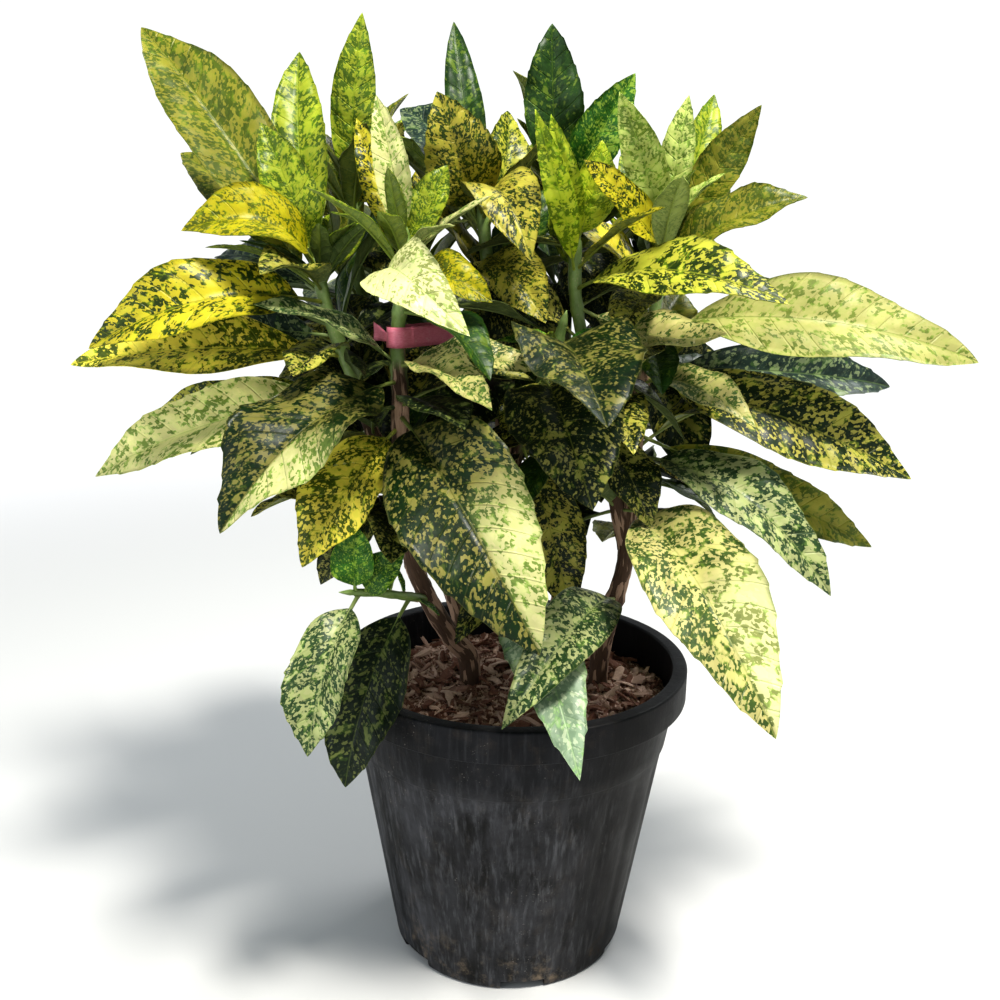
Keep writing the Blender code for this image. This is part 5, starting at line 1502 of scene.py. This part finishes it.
def woody_stem(name):
    """Points and faces of a stem, with each point's place on the bark and the wood's age."""
    stem = STEMS[name]
    line = np.array([tuple(p) for p in smooth_route(stem.route, STEM_STEPS)])
    plain = stem_radius(stem, np.linspace(0, 1, len(line)))
    radii = plain
    for found in GROWN:
        if found.blade.leaf.stem == name:
            off = (line[:, 2] - found.blade.root.z) / RING_HEIGHT
            radii = np.maximum(radii, plain * (1 + RING_SWELL * np.exp(-off ** 2)))
    ahead = unit(line[-1] - line[-2])
    bud = np.array([line[-1] + ahead * BUD_LENGTH * k for k in BUD_SHARES])
    line = np.concatenate([line, bud])
    radii = np.concatenate([radii, stem.top * np.array(BUD_RADII)])
    verts, faces = rod(line, radii, STEM_SIDES, (0.0, 1.0, 0.0))
    rows = np.repeat(np.arange(len(line)), STEM_SIDES)
    rows = np.concatenate([rows, [0, len(line) - 1]])
    age = np.clip((GREEN_FROM[name] - verts[:, 2]) / GREENING + 0.5, 0, 1)
    draw = np.random.default_rng(len(name))
    rough = draw.normal(0, 1, len(verts)) * BARK_ROUGHNESS * age
    verts = verts + unit(verts - line[rows]) * rough[:, None]
    travelled = np.concatenate([[0], np.cumsum(np.linalg.norm(np.diff(line, axis=0), axis=1))])
    turn = np.concatenate([np.tile(np.linspace(0, 2 * np.pi, STEM_SIDES, endpoint=False),
                                   len(line)), [0, 0]])
    place = np.stack([np.cos(turn) * TURN_RADIUS, np.sin(turn) * TURN_RADIUS,
                      travelled[rows]], 1)
    return verts, faces, place, age


print("points round a stem:", STEM_SIDES)

# %% [markdown]
# ## The finish of the wood
# One finish serves both ages. Brown bark is made of long fibres, with paler bare patches
# where it has peeled, and green wood is smooth with small pale dots. The age that was noted
# on the points picks between them, and noise makes the green run out raggedly.

# %% Finish the stems
DARK_BARK, BROWN_BARK = (0.030, 0.016, 0.010, 1.0), (0.150, 0.085, 0.050, 1.0)
DARK_PEEL, PALE_PEEL = (0.26, 0.15, 0.10, 1.0), (0.52, 0.36, 0.25, 1.0)
DEEP_SHOOT, PALE_SHOOT = (0.10, 0.17, 0.03, 1.0), (0.26, 0.36, 0.12, 1.0)
SHOOT_DOTS = (0.30, 0.30, 0.14, 1.0)


def wood_finish():
    material, tree, shader = finish("laurel_bark")
    place = node(tree, "Attribute", attribute_name="wood_place", out="Vector")
    age = node(tree, "Attribute", attribute_name="wood_age", out="Fac")
    long = node(tree, "VectorMath", {0: place, 1: (1.0, 1.0, 0.22)}, operation="MULTIPLY")
    flakes = cells(tree, warped(tree, long, 260.0, 0.004), 260.0)
    fibre = cloud(tree, node(tree, "VectorMath", {0: place, 1: (1.0, 1.0, 0.07)},
                             operation="MULTIPLY"), 900.0, 4.0, 0.6)
    lump = cloud(tree, long, 90.0, 3.0)
    brown = tint(tree, fibre, DARK_BARK, BROWN_BARK)
    peeled = tint(tree, fibre, DARK_PEEL, PALE_PEEL)
    bare = band(tree, times_plus(tree, flakes, 0.30, lump), 0.66, 0.74)
    old = tint(tree, bare, brown, peeled)
    dots = band(tree, cells(tree, place, 700.0), 0.90, 0.95)
    young = tint(tree, cloud(tree, place, 200.0), DEEP_SHOOT, PALE_SHOOT)
    young = tint(tree, times(tree, dots, 0.5), young, SHOOT_DOTS)
    turn = times_plus(tree, sums(tree, "SUBTRACT", lump, 0.5), 1.2, age)
    turn = band(tree, turn, 0.35, 0.65)
    colour = tint(tree, turn, young, old)
    rough = node(tree, "MapRange", {0: turn, 3: 0.42, 4: 0.85})
    height = times(tree, times_plus(tree, bare, -0.6, fibre), turn)
    feed_shader(tree, shader, base_color=colour, roughness=rough,
                normal=relief(tree, height, 0.0012, 0.8))
    return material


WOOD = wood_finish()
for name in STEMS:
    verts, faces, place, age = woody_stem(name)
    stem = new_piece(f"woody_stem_{name}", verts.tolist(), faces, [WOOD],
                     [STEMS[name].piece])
    note_on_points(stem, "wood_place", "FLOAT_VECTOR", place)
    note_on_points(stem, "wood_age", "FLOAT", age)
print("woody stems:", len(STEMS))

# %% [markdown]
# ## The nursery pot
# The pot is moulded in one piece of thin black plastic. Seen in section it is a profile: up
# the inside, over the rounded lip, down its skirt and back up behind it, then down the band
# and the tapered wall to the foot ring, and in under the floor. The profile needs only its
# corners, and arcs where they are rounded.

# %% Draw the pot's profile
POT_HEIGHT, WALL = 0.250, 0.0025
RIM_RADIUS, BODY_TOP_RADIUS, FOOT_RADIUS = 0.145, 0.1363, 0.0985
LIP_HEIGHT, LIP_BEAD, BAND_HEIGHT, BAND_STEP = 0.0255, 0.0020, 0.038, 0.0014
FOOT_RING, FLOOR_UNDERSIDE, FLOOR_CORNER, FLUTE_LOW = 0.0085, 0.0085, 0.004, 0.022


def body_radius(z):
    return FOOT_RADIUS + (BODY_TOP_RADIUS - FOOT_RADIUS) * z / (POT_HEIGHT - LIP_HEIGHT)


def inner_radius(z):
    return body_radius(z) - WALL - BAND_STEP


def arc(middle, radius, start, end, steps=5):
    """Points of a rounded corner in the profile."""
    return [(middle[0] + radius * math.cos(math.radians(start + (end - start) * i / steps)),
             middle[1] + radius * math.sin(math.radians(start + (end - start) * i / steps)))
            for i in range(steps + 1)]


def pot_profile():
    """The section's points, from the middle of the floor inside to its middle below."""
    lip_foot = POT_HEIGHT - LIP_HEIGHT
    band_foot = lip_foot - BAND_HEIGHT
    floor = FLOOR_UNDERSIDE + WALL + 0.001
    corner = inner_radius(floor) - FLOOR_CORNER
    inside = inner_radius(lip_foot) + 0.0006
    points = [(0.0, floor), (corner, floor)]
    points += arc((corner, floor + FLOOR_CORNER), FLOOR_CORNER, -90, -8)
    points += [(inner_radius(z), z) for z in np.linspace(floor + 0.012, lip_foot, 8)]
    points += arc((inside + LIP_BEAD, POT_HEIGHT - LIP_BEAD), LIP_BEAD, 180, 90)
    points += arc((RIM_RADIUS - LIP_BEAD, POT_HEIGHT - LIP_BEAD), LIP_BEAD, 90, 0)
    points += [(RIM_RADIUS, lip_foot + 0.012)]
    points += arc((RIM_RADIUS - 0.001, lip_foot + 0.001), 0.001, 0, -90, 3)
    skirt = RIM_RADIUS - WALL
    points += [(skirt, lip_foot), (skirt, POT_HEIGHT - 0.006), (skirt - 0.001, POT_HEIGHT - 0.004)]
    points += [(BODY_TOP_RADIUS + 0.0005, POT_HEIGHT - 0.004)]
    points += [(body_radius(z), z) for z in np.linspace(lip_foot, band_foot + 0.0006, 5)]
    points += [(body_radius(band_foot) - 0.0004, band_foot),
               (body_radius(band_foot) - BAND_STEP, band_foot - 0.0014)]
    points += [(body_radius(z) - BAND_STEP, z)
               for z in np.linspace(band_foot - 0.006, FLUTE_LOW, 22)]
    points += [(FOOT_RADIUS + 0.0006, 0.013), (FOOT_RADIUS - 0.0002, 0.0075)]
    points += [(FOOT_RADIUS - 0.0008, 0.004), (FOOT_RADIUS - 0.0020, 0.0014),
               (FOOT_RADIUS - 0.0035, 0.0), (FOOT_RADIUS - FOOT_RING + 0.0006, 0.0),
               (FOOT_RADIUS - FOOT_RING, 0.0006), (FOOT_RADIUS - FOOT_RING, FLOOR_UNDERSIDE),
               (0.0, FLOOR_UNDERSIDE)]
    return points


print("points of the profile:", len(pot_profile()))

# %% [markdown]
# ## Turning and pressing the pot
# A Screw modifier turns the profile about the pot's axis, which is as quick as a potter's
# wheel and leaves the points in neat rings. The wall's points are then pushed in along
# shallow flutes that fade out towards the band and the foot.

# %% Turn the wall and press its flutes
POT_SIDES, MERGE_WITHIN = 240, 0.0001
FLUTES, FLUTE_DEPTH, FLUTE_SHARPNESS, FLUTE_FADE = 24, 0.0011, 3, 0.012


def turned(name, profile, sides):
    """Spin a profile about Z with a Screw modifier, and keep the result."""
    mesh = bpy.data.meshes.new(name)
    mesh.from_pydata([(r, 0.0, z) for r, z in profile],
                     [(i, i + 1) for i in range(len(profile) - 1)], [])
    item = bpy.data.objects.new(name, mesh)
    bpy.context.scene.collection.objects.link(item)
    screw = item.modifiers.new("Screw", "SCREW")
    screw.steps = screw.render_steps = sides
    screw.use_merge_vertices = True
    screw.merge_threshold = MERGE_WITHIN
    return baked(item)


def baked(item):
    """Replace an object's mesh with what its modifiers make of it."""
    bpy.context.view_layer.update()
    depsgraph = bpy.context.evaluated_depsgraph_get()
    mesh = bpy.data.meshes.new_from_object(item.evaluated_get(depsgraph))
    item.modifiers.clear()
    item.data = mesh
    return item


def press_flutes(pot):
    """Press shallow grooves into the wall between the band and the foot."""
    top = POT_HEIGHT - LIP_HEIGHT - BAND_HEIGHT - 0.004
    for vertex in pot.data.vertices:
        x, y, z = vertex.co
        radius = math.hypot(x, y)
        if FLUTE_LOW - 0.001 < z < top and radius > inner_radius(z) + WALL / 2:
            fade = min(1.0, (z - FLUTE_LOW) / FLUTE_FADE, (top - z) / FLUTE_FADE)
            groove = (0.5 - 0.5 * math.cos(FLUTES * math.atan2(y, x))) ** FLUTE_SHARPNESS
            vertex.co.xy *= 1 - FLUTE_DEPTH * groove * max(fade, 0.0) / radius


print("flutes:", FLUTES)

# %% [markdown]
# ## Notches and drain holes
# The foot is notched so that water can run off, and the floor is drilled. All the notches
# and drills are put into one collection, and a single Boolean modifier cuts them out.

# %% Cut the foot and the floor
NOTCH_COUNT, NOTCH_WIDTH, NOTCH_HEIGHT, NOTCH_TURN = 6, 0.036, 0.0082, 8.0
DRAIN_COUNT, DRAIN_RADIUS, DRAIN_RING, DRAIN_SIDES = 6, 0.006, 0.070, 24
DRAIN_HEIGHT, DRAIN_DEPTH = 0.010, 0.016
SHARP_FROM = 38


def cutter(name, build, place, turn, group):
    """One cutting tool; build adds its shape to an empty mesh."""
    mesh = bpy.data.meshes.new(name)
    bm = bmesh.new()
    build(bm)
    bm.to_mesh(mesh)
    bm.free()
    item = bpy.data.objects.new(name, mesh)
    item.location, item.rotation_euler = place, (0.0, 0.0, turn)
    group.objects.link(item)


def make_pot():
    pot = turned("nursery_pot", pot_profile(), POT_SIDES)
    press_flutes(pot)
    tools = bpy.data.collections.new("pot_tools")
    bpy.context.scene.collection.children.link(tools)
    notch_shape = Matrix.Diagonal((4 * FOOT_RING, NOTCH_WIDTH, 2 * NOTCH_HEIGHT, 1.0))
    for i in range(NOTCH_COUNT):
        turn = math.radians(NOTCH_TURN - 90 + i * 360 / NOTCH_COUNT)
        spot = (FOOT_RADIUS * math.cos(turn), FOOT_RADIUS * math.sin(turn), 0.0)
        cutter(f"notch_{i}", lambda bm: bmesh.ops.create_cube(bm, size=1.0, matrix=notch_shape),
               spot, turn, tools)
    for i in range(DRAIN_COUNT):
        turn = math.radians(NOTCH_TURN - 60 + i * 360 / DRAIN_COUNT)
        spot = (DRAIN_RING * math.cos(turn), DRAIN_RING * math.sin(turn), DRAIN_HEIGHT)
        cutter(f"drain_{i}", lambda bm: bmesh.ops.create_cone(
            bm, cap_ends=True, segments=DRAIN_SIDES, radius1=DRAIN_RADIUS,
            radius2=DRAIN_RADIUS, depth=DRAIN_DEPTH), spot, turn, tools)
    cut = pot.modifiers.new("Cut", "BOOLEAN")
    cut.operation, cut.solver, cut.operand_type = "DIFFERENCE", "EXACT", "COLLECTION"
    cut.collection = tools
    baked(pot)
    for item in list(tools.objects):
        bpy.data.objects.remove(item, do_unlink=True)
    bpy.data.collections.remove(tools)
    pot.data.shade_smooth()
    pot.data.set_sharp_from_angle(angle=math.radians(SHARP_FROM))
    return pot


POT = make_pot()
print("pot:", len(POT.data.polygons), "faces")

# %% [markdown]
# ## Dusty black plastic
# The plastic isn't plain black. Its wall has grey scuffs that run up and down, and its
# right-hand side is painted darker and browner, as painted shade. The band and the rim are
# darker and cleaner, and dry dust and splashed soil lie near the foot. All of it is noise,
# stretched where it runs.

# %% Finish the pot
BLACK_PLASTIC, GREY_PLASTIC = (0.0030, 0.0028, 0.0028, 1.0), (0.0240, 0.0245, 0.0275, 1.0)
CLEAN_BAND, SHADED_SIDE_TINT = (0.0035, 0.0040, 0.0060, 1.0), (0.20, 0.18, 0.16, 1.0)
SCUFFED, DUST_FILM = (0.150, 0.152, 0.162, 1.0), (0.100, 0.101, 0.110, 1.0)
DUST_SPECKS, DRY_SOIL = (0.34, 0.31, 0.28, 1.0), (0.24, 0.185, 0.13, 1.0)
POT_SHEEN = 0.18


def pot_finish():
    material, tree, shader = finish("dusty_black_plastic")
    place = node(tree, "NewGeometry", out="Position")
    split = node(tree, "SeparateXYZ", {0: place}).node.outputs
    height = split["Z"]
    upright = node(tree, "VectorMath", {0: place, 1: (1.0, 1.0, 0.10)}, operation="MULTIPLY")
    scuffs = cloud(tree, upright, 260.0, 5.0, 0.62)
    blotch = cloud(tree, place, 22.0, 5.0, 0.65)
    streaks = cloud(tree, node(tree, "VectorMath", {0: place, 1: (1.0, 1.0, 0.16)},
                               operation="MULTIPLY"), 60.0, 4.0, 0.6)
    colour = tint(tree, band(tree, streaks, 0.38, 0.64), BLACK_PLASTIC, GREY_PLASTIC)
    high = band(tree, height, 0.175, 0.205)
    colour = tint(tree, times(tree, high, 0.75), colour, CLEAN_BAND)
    worn = times_plus(tree, high, -0.65, 1.0)
    dust = times(tree, band(tree, scuffs, 0.46, 0.76), 0.40)
    colour = tint(tree, times(tree, dust, worn), colour, SCUFFED)
    film = times(tree, band(tree, blotch, 0.42, 0.74), 0.38)
    colour = tint(tree, times(tree, film, worn), colour, DUST_FILM)
    specks = times_plus(tree, cells(tree, place, 900.0), 0.30, cloud(tree, place, 700.0, 2.0))
    specks = band(tree, specks, 0.90, 0.97)
    dusty = times(tree, specks, band(tree, cloud(tree, place, 30.0, 3.0), 0.48, 0.66))
    colour = tint(tree, times(tree, dusty, 0.55), colour, DUST_SPECKS)
    film = band(tree, cloud(tree, place, 60.0, 6.0, 0.7), 0.50, 0.80)
    low = sums(tree, "SUBTRACT", 1.0, band(tree, height, 0.004, 0.055))
    dirt = times(tree, film, times_plus(tree, low, 0.85, 0.10))
    colour = tint(tree, dirt, colour, DRY_SOIL)
    # painted shade: this tint darkens and browns the right-hand side (+X) of the pot, standing for
    # the side in shade
    away = band(tree, times_plus(tree, blotch, 0.08, split["X"]), 0.06, 0.14)
    fresh = tint(tree, 1.0, colour, SHADED_SIDE_TINT, "MULTIPLY")
    colour = tint(tree, away, colour, fresh)
    rough = node(tree, "MapRange", {0: blotch, 1: 0.3, 2: 0.75, 3: 0.42, 4: 0.66})
    rough = times_plus(tree, dirt, 0.4, rough, clamp=True)
    bumps = times_plus(tree, cloud(tree, place, 700.0, 3.0), 0.5, scuffs)
    feed_shader(tree, shader, base_color=colour, roughness=rough,
                normal=relief(tree, bumps, 0.0005, 0.45))
    shader.inputs["Specular IOR Level"].default_value = POT_SHEEN
    return material


POT.data.materials.append(pot_finish())
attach(POT, "root")
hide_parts("pot")
print("pot finished")

# %% [markdown]
# ## Bark compost
# The compost is a bed of fine crumbs with chips of bark lying on it every way. The bed is a
# disc of rings whose heights follow the CAD soil plus fine noise, with a short wall and a
# flat underside, because nothing below its top can be seen.

# %% Lay the bed
SOIL_TOP, GAP = 0.222, 0.0003
BED_RINGS, BED_SIDES, BED_DEPTH, BED_TAPER = 70, 180, 0.020, 0.985
CRUMB = 0.0016


def soil_height(x, y):
    """The height of the uneven soil, which falls a little towards the pot's wall."""
    waves = math.sin(61 * x + 1.3) * math.cos(53 * y - 0.4) + 0.6 * math.sin(131 * x - 97 * y)
    fall = 0.003 * (math.hypot(x, y) / 0.13) ** 2
    return SOIL_TOP + 0.0028 * waves - fall


def compost_bed():
    draw = np.random.default_rng(SEED)
    edge = inner_radius(SOIL_TOP - 0.006) - GAP
    verts, faces = [(0.0, 0.0, soil_height(0, 0))], []
    for ring in range(1, BED_RINGS + 1):
        radius = edge * ring / BED_RINGS
        for k in range(BED_SIDES):
            turn = 2 * math.pi * k / BED_SIDES
            x, y = radius * math.cos(turn), radius * math.sin(turn)
            verts.append((x, y, soil_height(x, y) + abs(draw.normal(0, CRUMB)) - CRUMB))
    low = len(verts)
    for k in range(BED_SIDES):
        x, y, z = verts[low - BED_SIDES + k]
        verts.append((x * BED_TAPER, y * BED_TAPER, z - BED_DEPTH))
    verts.append((0.0, 0.0, SOIL_TOP - BED_DEPTH))
    for k in range(BED_SIDES):
        n = (k + 1) % BED_SIDES
        faces.append((0, 1 + k, 1 + n))
        faces.append((low + n, low + k, len(verts) - 1))
        for ring in range(BED_RINGS):
            a = 1 + ring * BED_SIDES
            faces.append((a + k, a + BED_SIDES + k, a + BED_SIDES + n, a + n))
    return verts, faces


print("height of the soil at the middle:", round(soil_height(0, 0), 4), "m")

# %% [markdown]
# ## Chips of bark
# Each chip is a small splintered slab: long, thin, a little bent, with ragged ends. It is
# made of a few cross-sections whose corners are pushed about at random. The chips are spread
# by the golden angle, which leaves no rows, and each is tilted its own way, some half sunk.

# %% Scatter the chips
CHIPS, CHIP_SPREAD, BIG_SHARE, SHADOW_GAP = 620, 0.125, 0.16, 0.0008
CHIP_LENGTHS, CHIP_SLIMNESS, CHIP_THICKNESSES = (0.007, 0.019), (0.20, 0.48), (0.0010, 0.0026)
BIG_LONGER, BIG_THICKER, BOW, SPLINTER = 1.7, 1.5, 0.10, 0.08
CHIP_SECTIONS, RAGGEDNESS = 5, (0.72, 1.28)
CHIP_CORNERS = ((-1, -0.6), (-0.4, -1), (0.5, -1), (1, -0.3), (0.9, 0.5), (0.1, 1), (-0.8, 0.7))
CHIP_LIFTS, PITCH, ROLL = (0.0002, 0.0034), 0.32, 0.4
GOLDEN_TURN = math.pi * (3 - math.sqrt(5))


def bark_chip(draw, big):
    """One splintered slab of bark, along X."""
    length = draw.uniform(*CHIP_LENGTHS) * (BIG_LONGER if big else 1.0)
    width = length * draw.uniform(*CHIP_SLIMNESS)
    thick = draw.uniform(*CHIP_THICKNESSES) * (BIG_THICKER if big else 1.0)
    bow = draw.uniform(-BOW, BOW) * length
    verts, faces = [], []
    last, corners = CHIP_SECTIONS - 1, len(CHIP_CORNERS)
    for i in range(CHIP_SECTIONS):
        x = (i / last - 0.5) * length
        end = 0.45 + 0.55 * math.sin(math.pi * (0.12 + 0.76 * i / last))
        for y, z in CHIP_CORNERS:
            jitter = draw.uniform(*RAGGEDNESS)
            verts.append(Vector((x + draw.uniform(-SPLINTER, SPLINTER) * length,
                                 y * width / 2 * end * jitter,
                                 z * thick / 2 * jitter + bow * (1 - (2 * x / length) ** 2))))
    for i in range(last):
        for k in range(corners):
            a, b = i * corners + k, i * corners + (k + 1) % corners
            faces.append((a, a + corners, b + corners, b))
    faces += [tuple(range(corners)), tuple(reversed(range(last * corners, len(verts))))]
    return verts, faces


def scatter_chips():
    """All the chips that keep clear of the wall, with a random shade for each."""
    draw = random.Random(SEED)
    verts, faces, shades = [], [], []
    limit = inner_radius(SOIL_TOP) - SHADOW_GAP
    for i in range(CHIPS):
        reach = CHIP_SPREAD * math.sqrt((i + 0.5) / CHIPS)
        turn = i * GOLDEN_TURN + draw.uniform(-0.2, 0.2)
        x, y = reach * math.cos(turn), reach * math.sin(turn)
        chip, skin = bark_chip(draw, draw.random() < BIG_SHARE)
        lean = Matrix.Rotation(draw.uniform(0, 2 * math.pi), 4, "Z") @ Matrix.Rotation(
            draw.gauss(0, PITCH), 4, "Y") @ Matrix.Rotation(draw.gauss(0, ROLL), 4, "X")
        lift = draw.uniform(*CHIP_LIFTS)
        spot = Matrix.Translation((x, y, soil_height(x, y) + lift)) @ lean
        placed = [spot @ v for v in chip]
        if max(math.hypot(v.x, v.y) for v in placed) > limit:
            continue
        faces += [tuple(k + len(verts) for k in face) for face in skin]
        shades += [draw.random()] * len(placed)
        verts += placed
    return verts, faces, shades


print("corners of a chip:", CHIP_SECTIONS * len(CHIP_CORNERS))

# %% [markdown]
# ## The finish of the compost
# Bark runs from dark, damp brown to a dry pinkish tan. One finish serves both: a chip takes
# the one shade that was noted on it, and the bed takes a shade for each crumb from a Voronoi
# texture. Both have fine fibres and a pale crust in patches.

# %% Fill the pot with compost
DAMP_BARK, BROWN_CHIP = (0.050, 0.019, 0.011, 1.0), (0.300, 0.130, 0.078, 1.0)
TAN_CHIP, DRY_CHIP = (0.420, 0.240, 0.165, 1.0), (0.90, 0.69, 0.57, 1.0)
CRUST = (0.50, 0.33, 0.24, 1.0)


def compost_finish(name, attribute):
    """The finish, with its shades from an attribute or, without one, from small cells."""
    material, tree, shader = finish(name)
    place = node(tree, "NewGeometry", out="Position")
    if attribute:
        pick = node(tree, "Attribute", attribute_name=attribute, out="Fac")
    else:
        pick = cells(tree, place, 420.0)
    fibre = cloud(tree, place, 900.0, 4.0, 0.65)
    dark = tint(tree, fibre, DAMP_BARK, BROWN_CHIP)
    light = tint(tree, fibre, TAN_CHIP, DRY_CHIP)
    colour = tint(tree, band(tree, pick, 0.34, 0.84), dark, light)
    crust = band(tree, cloud(tree, place, 220.0, 3.0), 0.56, 0.70)
    colour = tint(tree, times(tree, crust, 0.5), colour, CRUST)
    feed_shader(tree, shader, base_color=colour, roughness=0.92,
                normal=relief(tree, fibre, 0.0010, 0.8))
    return material


verts, faces = compost_bed()
BED = new_piece("compost_bed", verts, faces, [compost_finish("fine_compost", "")],
                ["soil"])
verts, faces, shades = scatter_chips()
CHIP_PILE = new_piece("bark_chips", [tuple(v) for v in verts], faces,
                      [compost_finish("bark_chip", "chip_shade")], ["soil"])
CHIP_PILE.data.shade_flat()
note_on_points(CHIP_PILE, "chip_shade", "FLOAT", shades)
print("bed faces:", len(BED.data.polygons), "chip faces:", len(CHIP_PILE.data.polygons))

# %% [markdown]
# ## The pink tie
# A strip of soft plastic ribbon holds two stems together. It goes round both in one loop, and
# its short tail widens as it leaves the front one. The strip is a sheet that follows the
# loop, thickened by a Solidify modifier, with slight creases across it.

# %% Tie the stems
TIED_STEMS = ("front", "middle")
TIE_HEIGHT, TIE_WIDTH, TIE_THICKNESS = 0.519, 0.015, 0.0005
TIE_LOOP_RADIUS = 0.0080
TIE_ARC_STEPS, TIE_RUN_STEPS, TIE_ROWS, CREASE = 14, 18, 5, 0.0004
TIE_TAIL, TAIL_START, TAIL_RISE, TAIL_STEPS = 0.016, 0.001, 0.003, 8
TAIL_NARROW, TAIL_WIDENING = 0.006, 0.0010
TIE_ROSE, TIE_PINK = (0.60, 0.095, 0.165, 1.0), (0.83, 0.30, 0.38, 1.0)
TIE_DUST = (0.80, 0.56, 0.56, 1.0)


def tie_loop():
    """The loop's middle line round the two stems, seen from above."""
    ends = [stem_place(name, TIE_HEIGHT) for name in TIED_STEMS]
    way = math.atan2(ends[1].y - ends[0].y, ends[1].x - ends[0].x)
    arcs = []
    for centre, start in ((ends[0], way + math.pi / 2), (ends[1], way - math.pi / 2)):
        turns = [start + math.pi * k / TIE_ARC_STEPS for k in range(TIE_ARC_STEPS + 1)]
        arcs.append([centre + Vector((math.cos(t), math.sin(t), 0)) * TIE_LOOP_RADIUS
                     for t in turns])
    line = []
    for one, other in ((arcs[0], arcs[1]), (arcs[1], arcs[0])):
        line += one
        line += [one[-1].lerp(other[0], k / TIE_RUN_STEPS) for k in range(1, TIE_RUN_STEPS)]
    return line


def ribbon(name, line, closed, widths):
    """An upright ribbon of a varying width along a line, a little creased."""
    verts, faces = [], []
    for i, point in enumerate(line):
        for k in range(TIE_ROWS):
            share = k / (TIE_ROWS - 1) - 0.5
            crease = CREASE * math.sin(i * 1.7 + 5 * share) * math.cos(i * 0.61)
            away = (point - line[i - 1]).cross(Vector((0, 0, 1))).normalized()
            verts.append(point + Vector((0, 0, share * widths[i])) + away * crease)
    count = len(line)
    for i in range(count if closed else count - 1):
        n = (i + 1) % count
        for k in range(TIE_ROWS - 1):
            faces.append((i * TIE_ROWS + k, n * TIE_ROWS + k, n * TIE_ROWS + k + 1,
                          i * TIE_ROWS + k + 1))
    item = new_piece(name, [tuple(v) for v in verts], faces, [TIE_PLASTIC],
                     ["stem_tie"])
    solid = item.modifiers.new("Thickness", "SOLIDIFY")
    solid.thickness, solid.offset = TIE_THICKNESS, 0.0


def tie_finish():
    material, tree, shader = finish("pink_ribbon_plastic")
    place = node(tree, "NewGeometry", out="Position")
    upright = node(tree, "VectorMath", {0: place, 1: (0.25, 0.25, 1.0)}, operation="MULTIPLY")
    streaks = cloud(tree, upright, 1400.0, 3.0)
    colour = tint(tree, streaks, TIE_ROSE, TIE_PINK)
    dust = band(tree, cloud(tree, place, 260.0, 4.0), 0.55, 0.8)
    colour = tint(tree, times(tree, dust, 0.3), colour, TIE_DUST)
    feed_shader(tree, shader, base_color=colour, roughness=0.34,
                normal=relief(tree, streaks, 0.0003, 0.5))
    return material


TIE_PLASTIC = tie_finish()
loop = tie_loop()
ribbon("tie_loop", loop, True, [TIE_WIDTH] * len(loop))
knot_at, away = loop[4], (loop[4] - loop[9]).normalized()
tail_line = [knot_at + away * (TIE_TAIL * k / TAIL_STEPS - TAIL_START)
             + Vector((0, -0.0006 * math.sin(k), TAIL_RISE * k / TAIL_STEPS))
             for k in range(TAIL_STEPS + 1)]
ribbon("tie_tail", tail_line, False,
       [TAIL_NARROW + TAIL_WIDENING * k for k in range(TAIL_STEPS + 1)])
loop_length = sum((a - b).length for a, b in zip(loop, loop[1:] + loop[:1]))
print("tie loop:", round(loop_length, 3), "m long")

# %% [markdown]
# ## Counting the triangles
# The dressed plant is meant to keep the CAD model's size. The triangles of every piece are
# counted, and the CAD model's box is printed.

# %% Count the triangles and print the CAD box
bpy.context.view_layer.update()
bpy.context.view_layer.update()
triangles = {item.name: sum(len(p.vertices) - 2 for p in item.data.polygons)
             for item in bpy.context.scene.objects if item.type == "MESH"}
print("most triangles in one piece:", max(triangles.values()), "all:", sum(triangles.values()))
print("CAD box:", [tuple(round(v, 4) for v in corner) for corner in CAD_BOX])
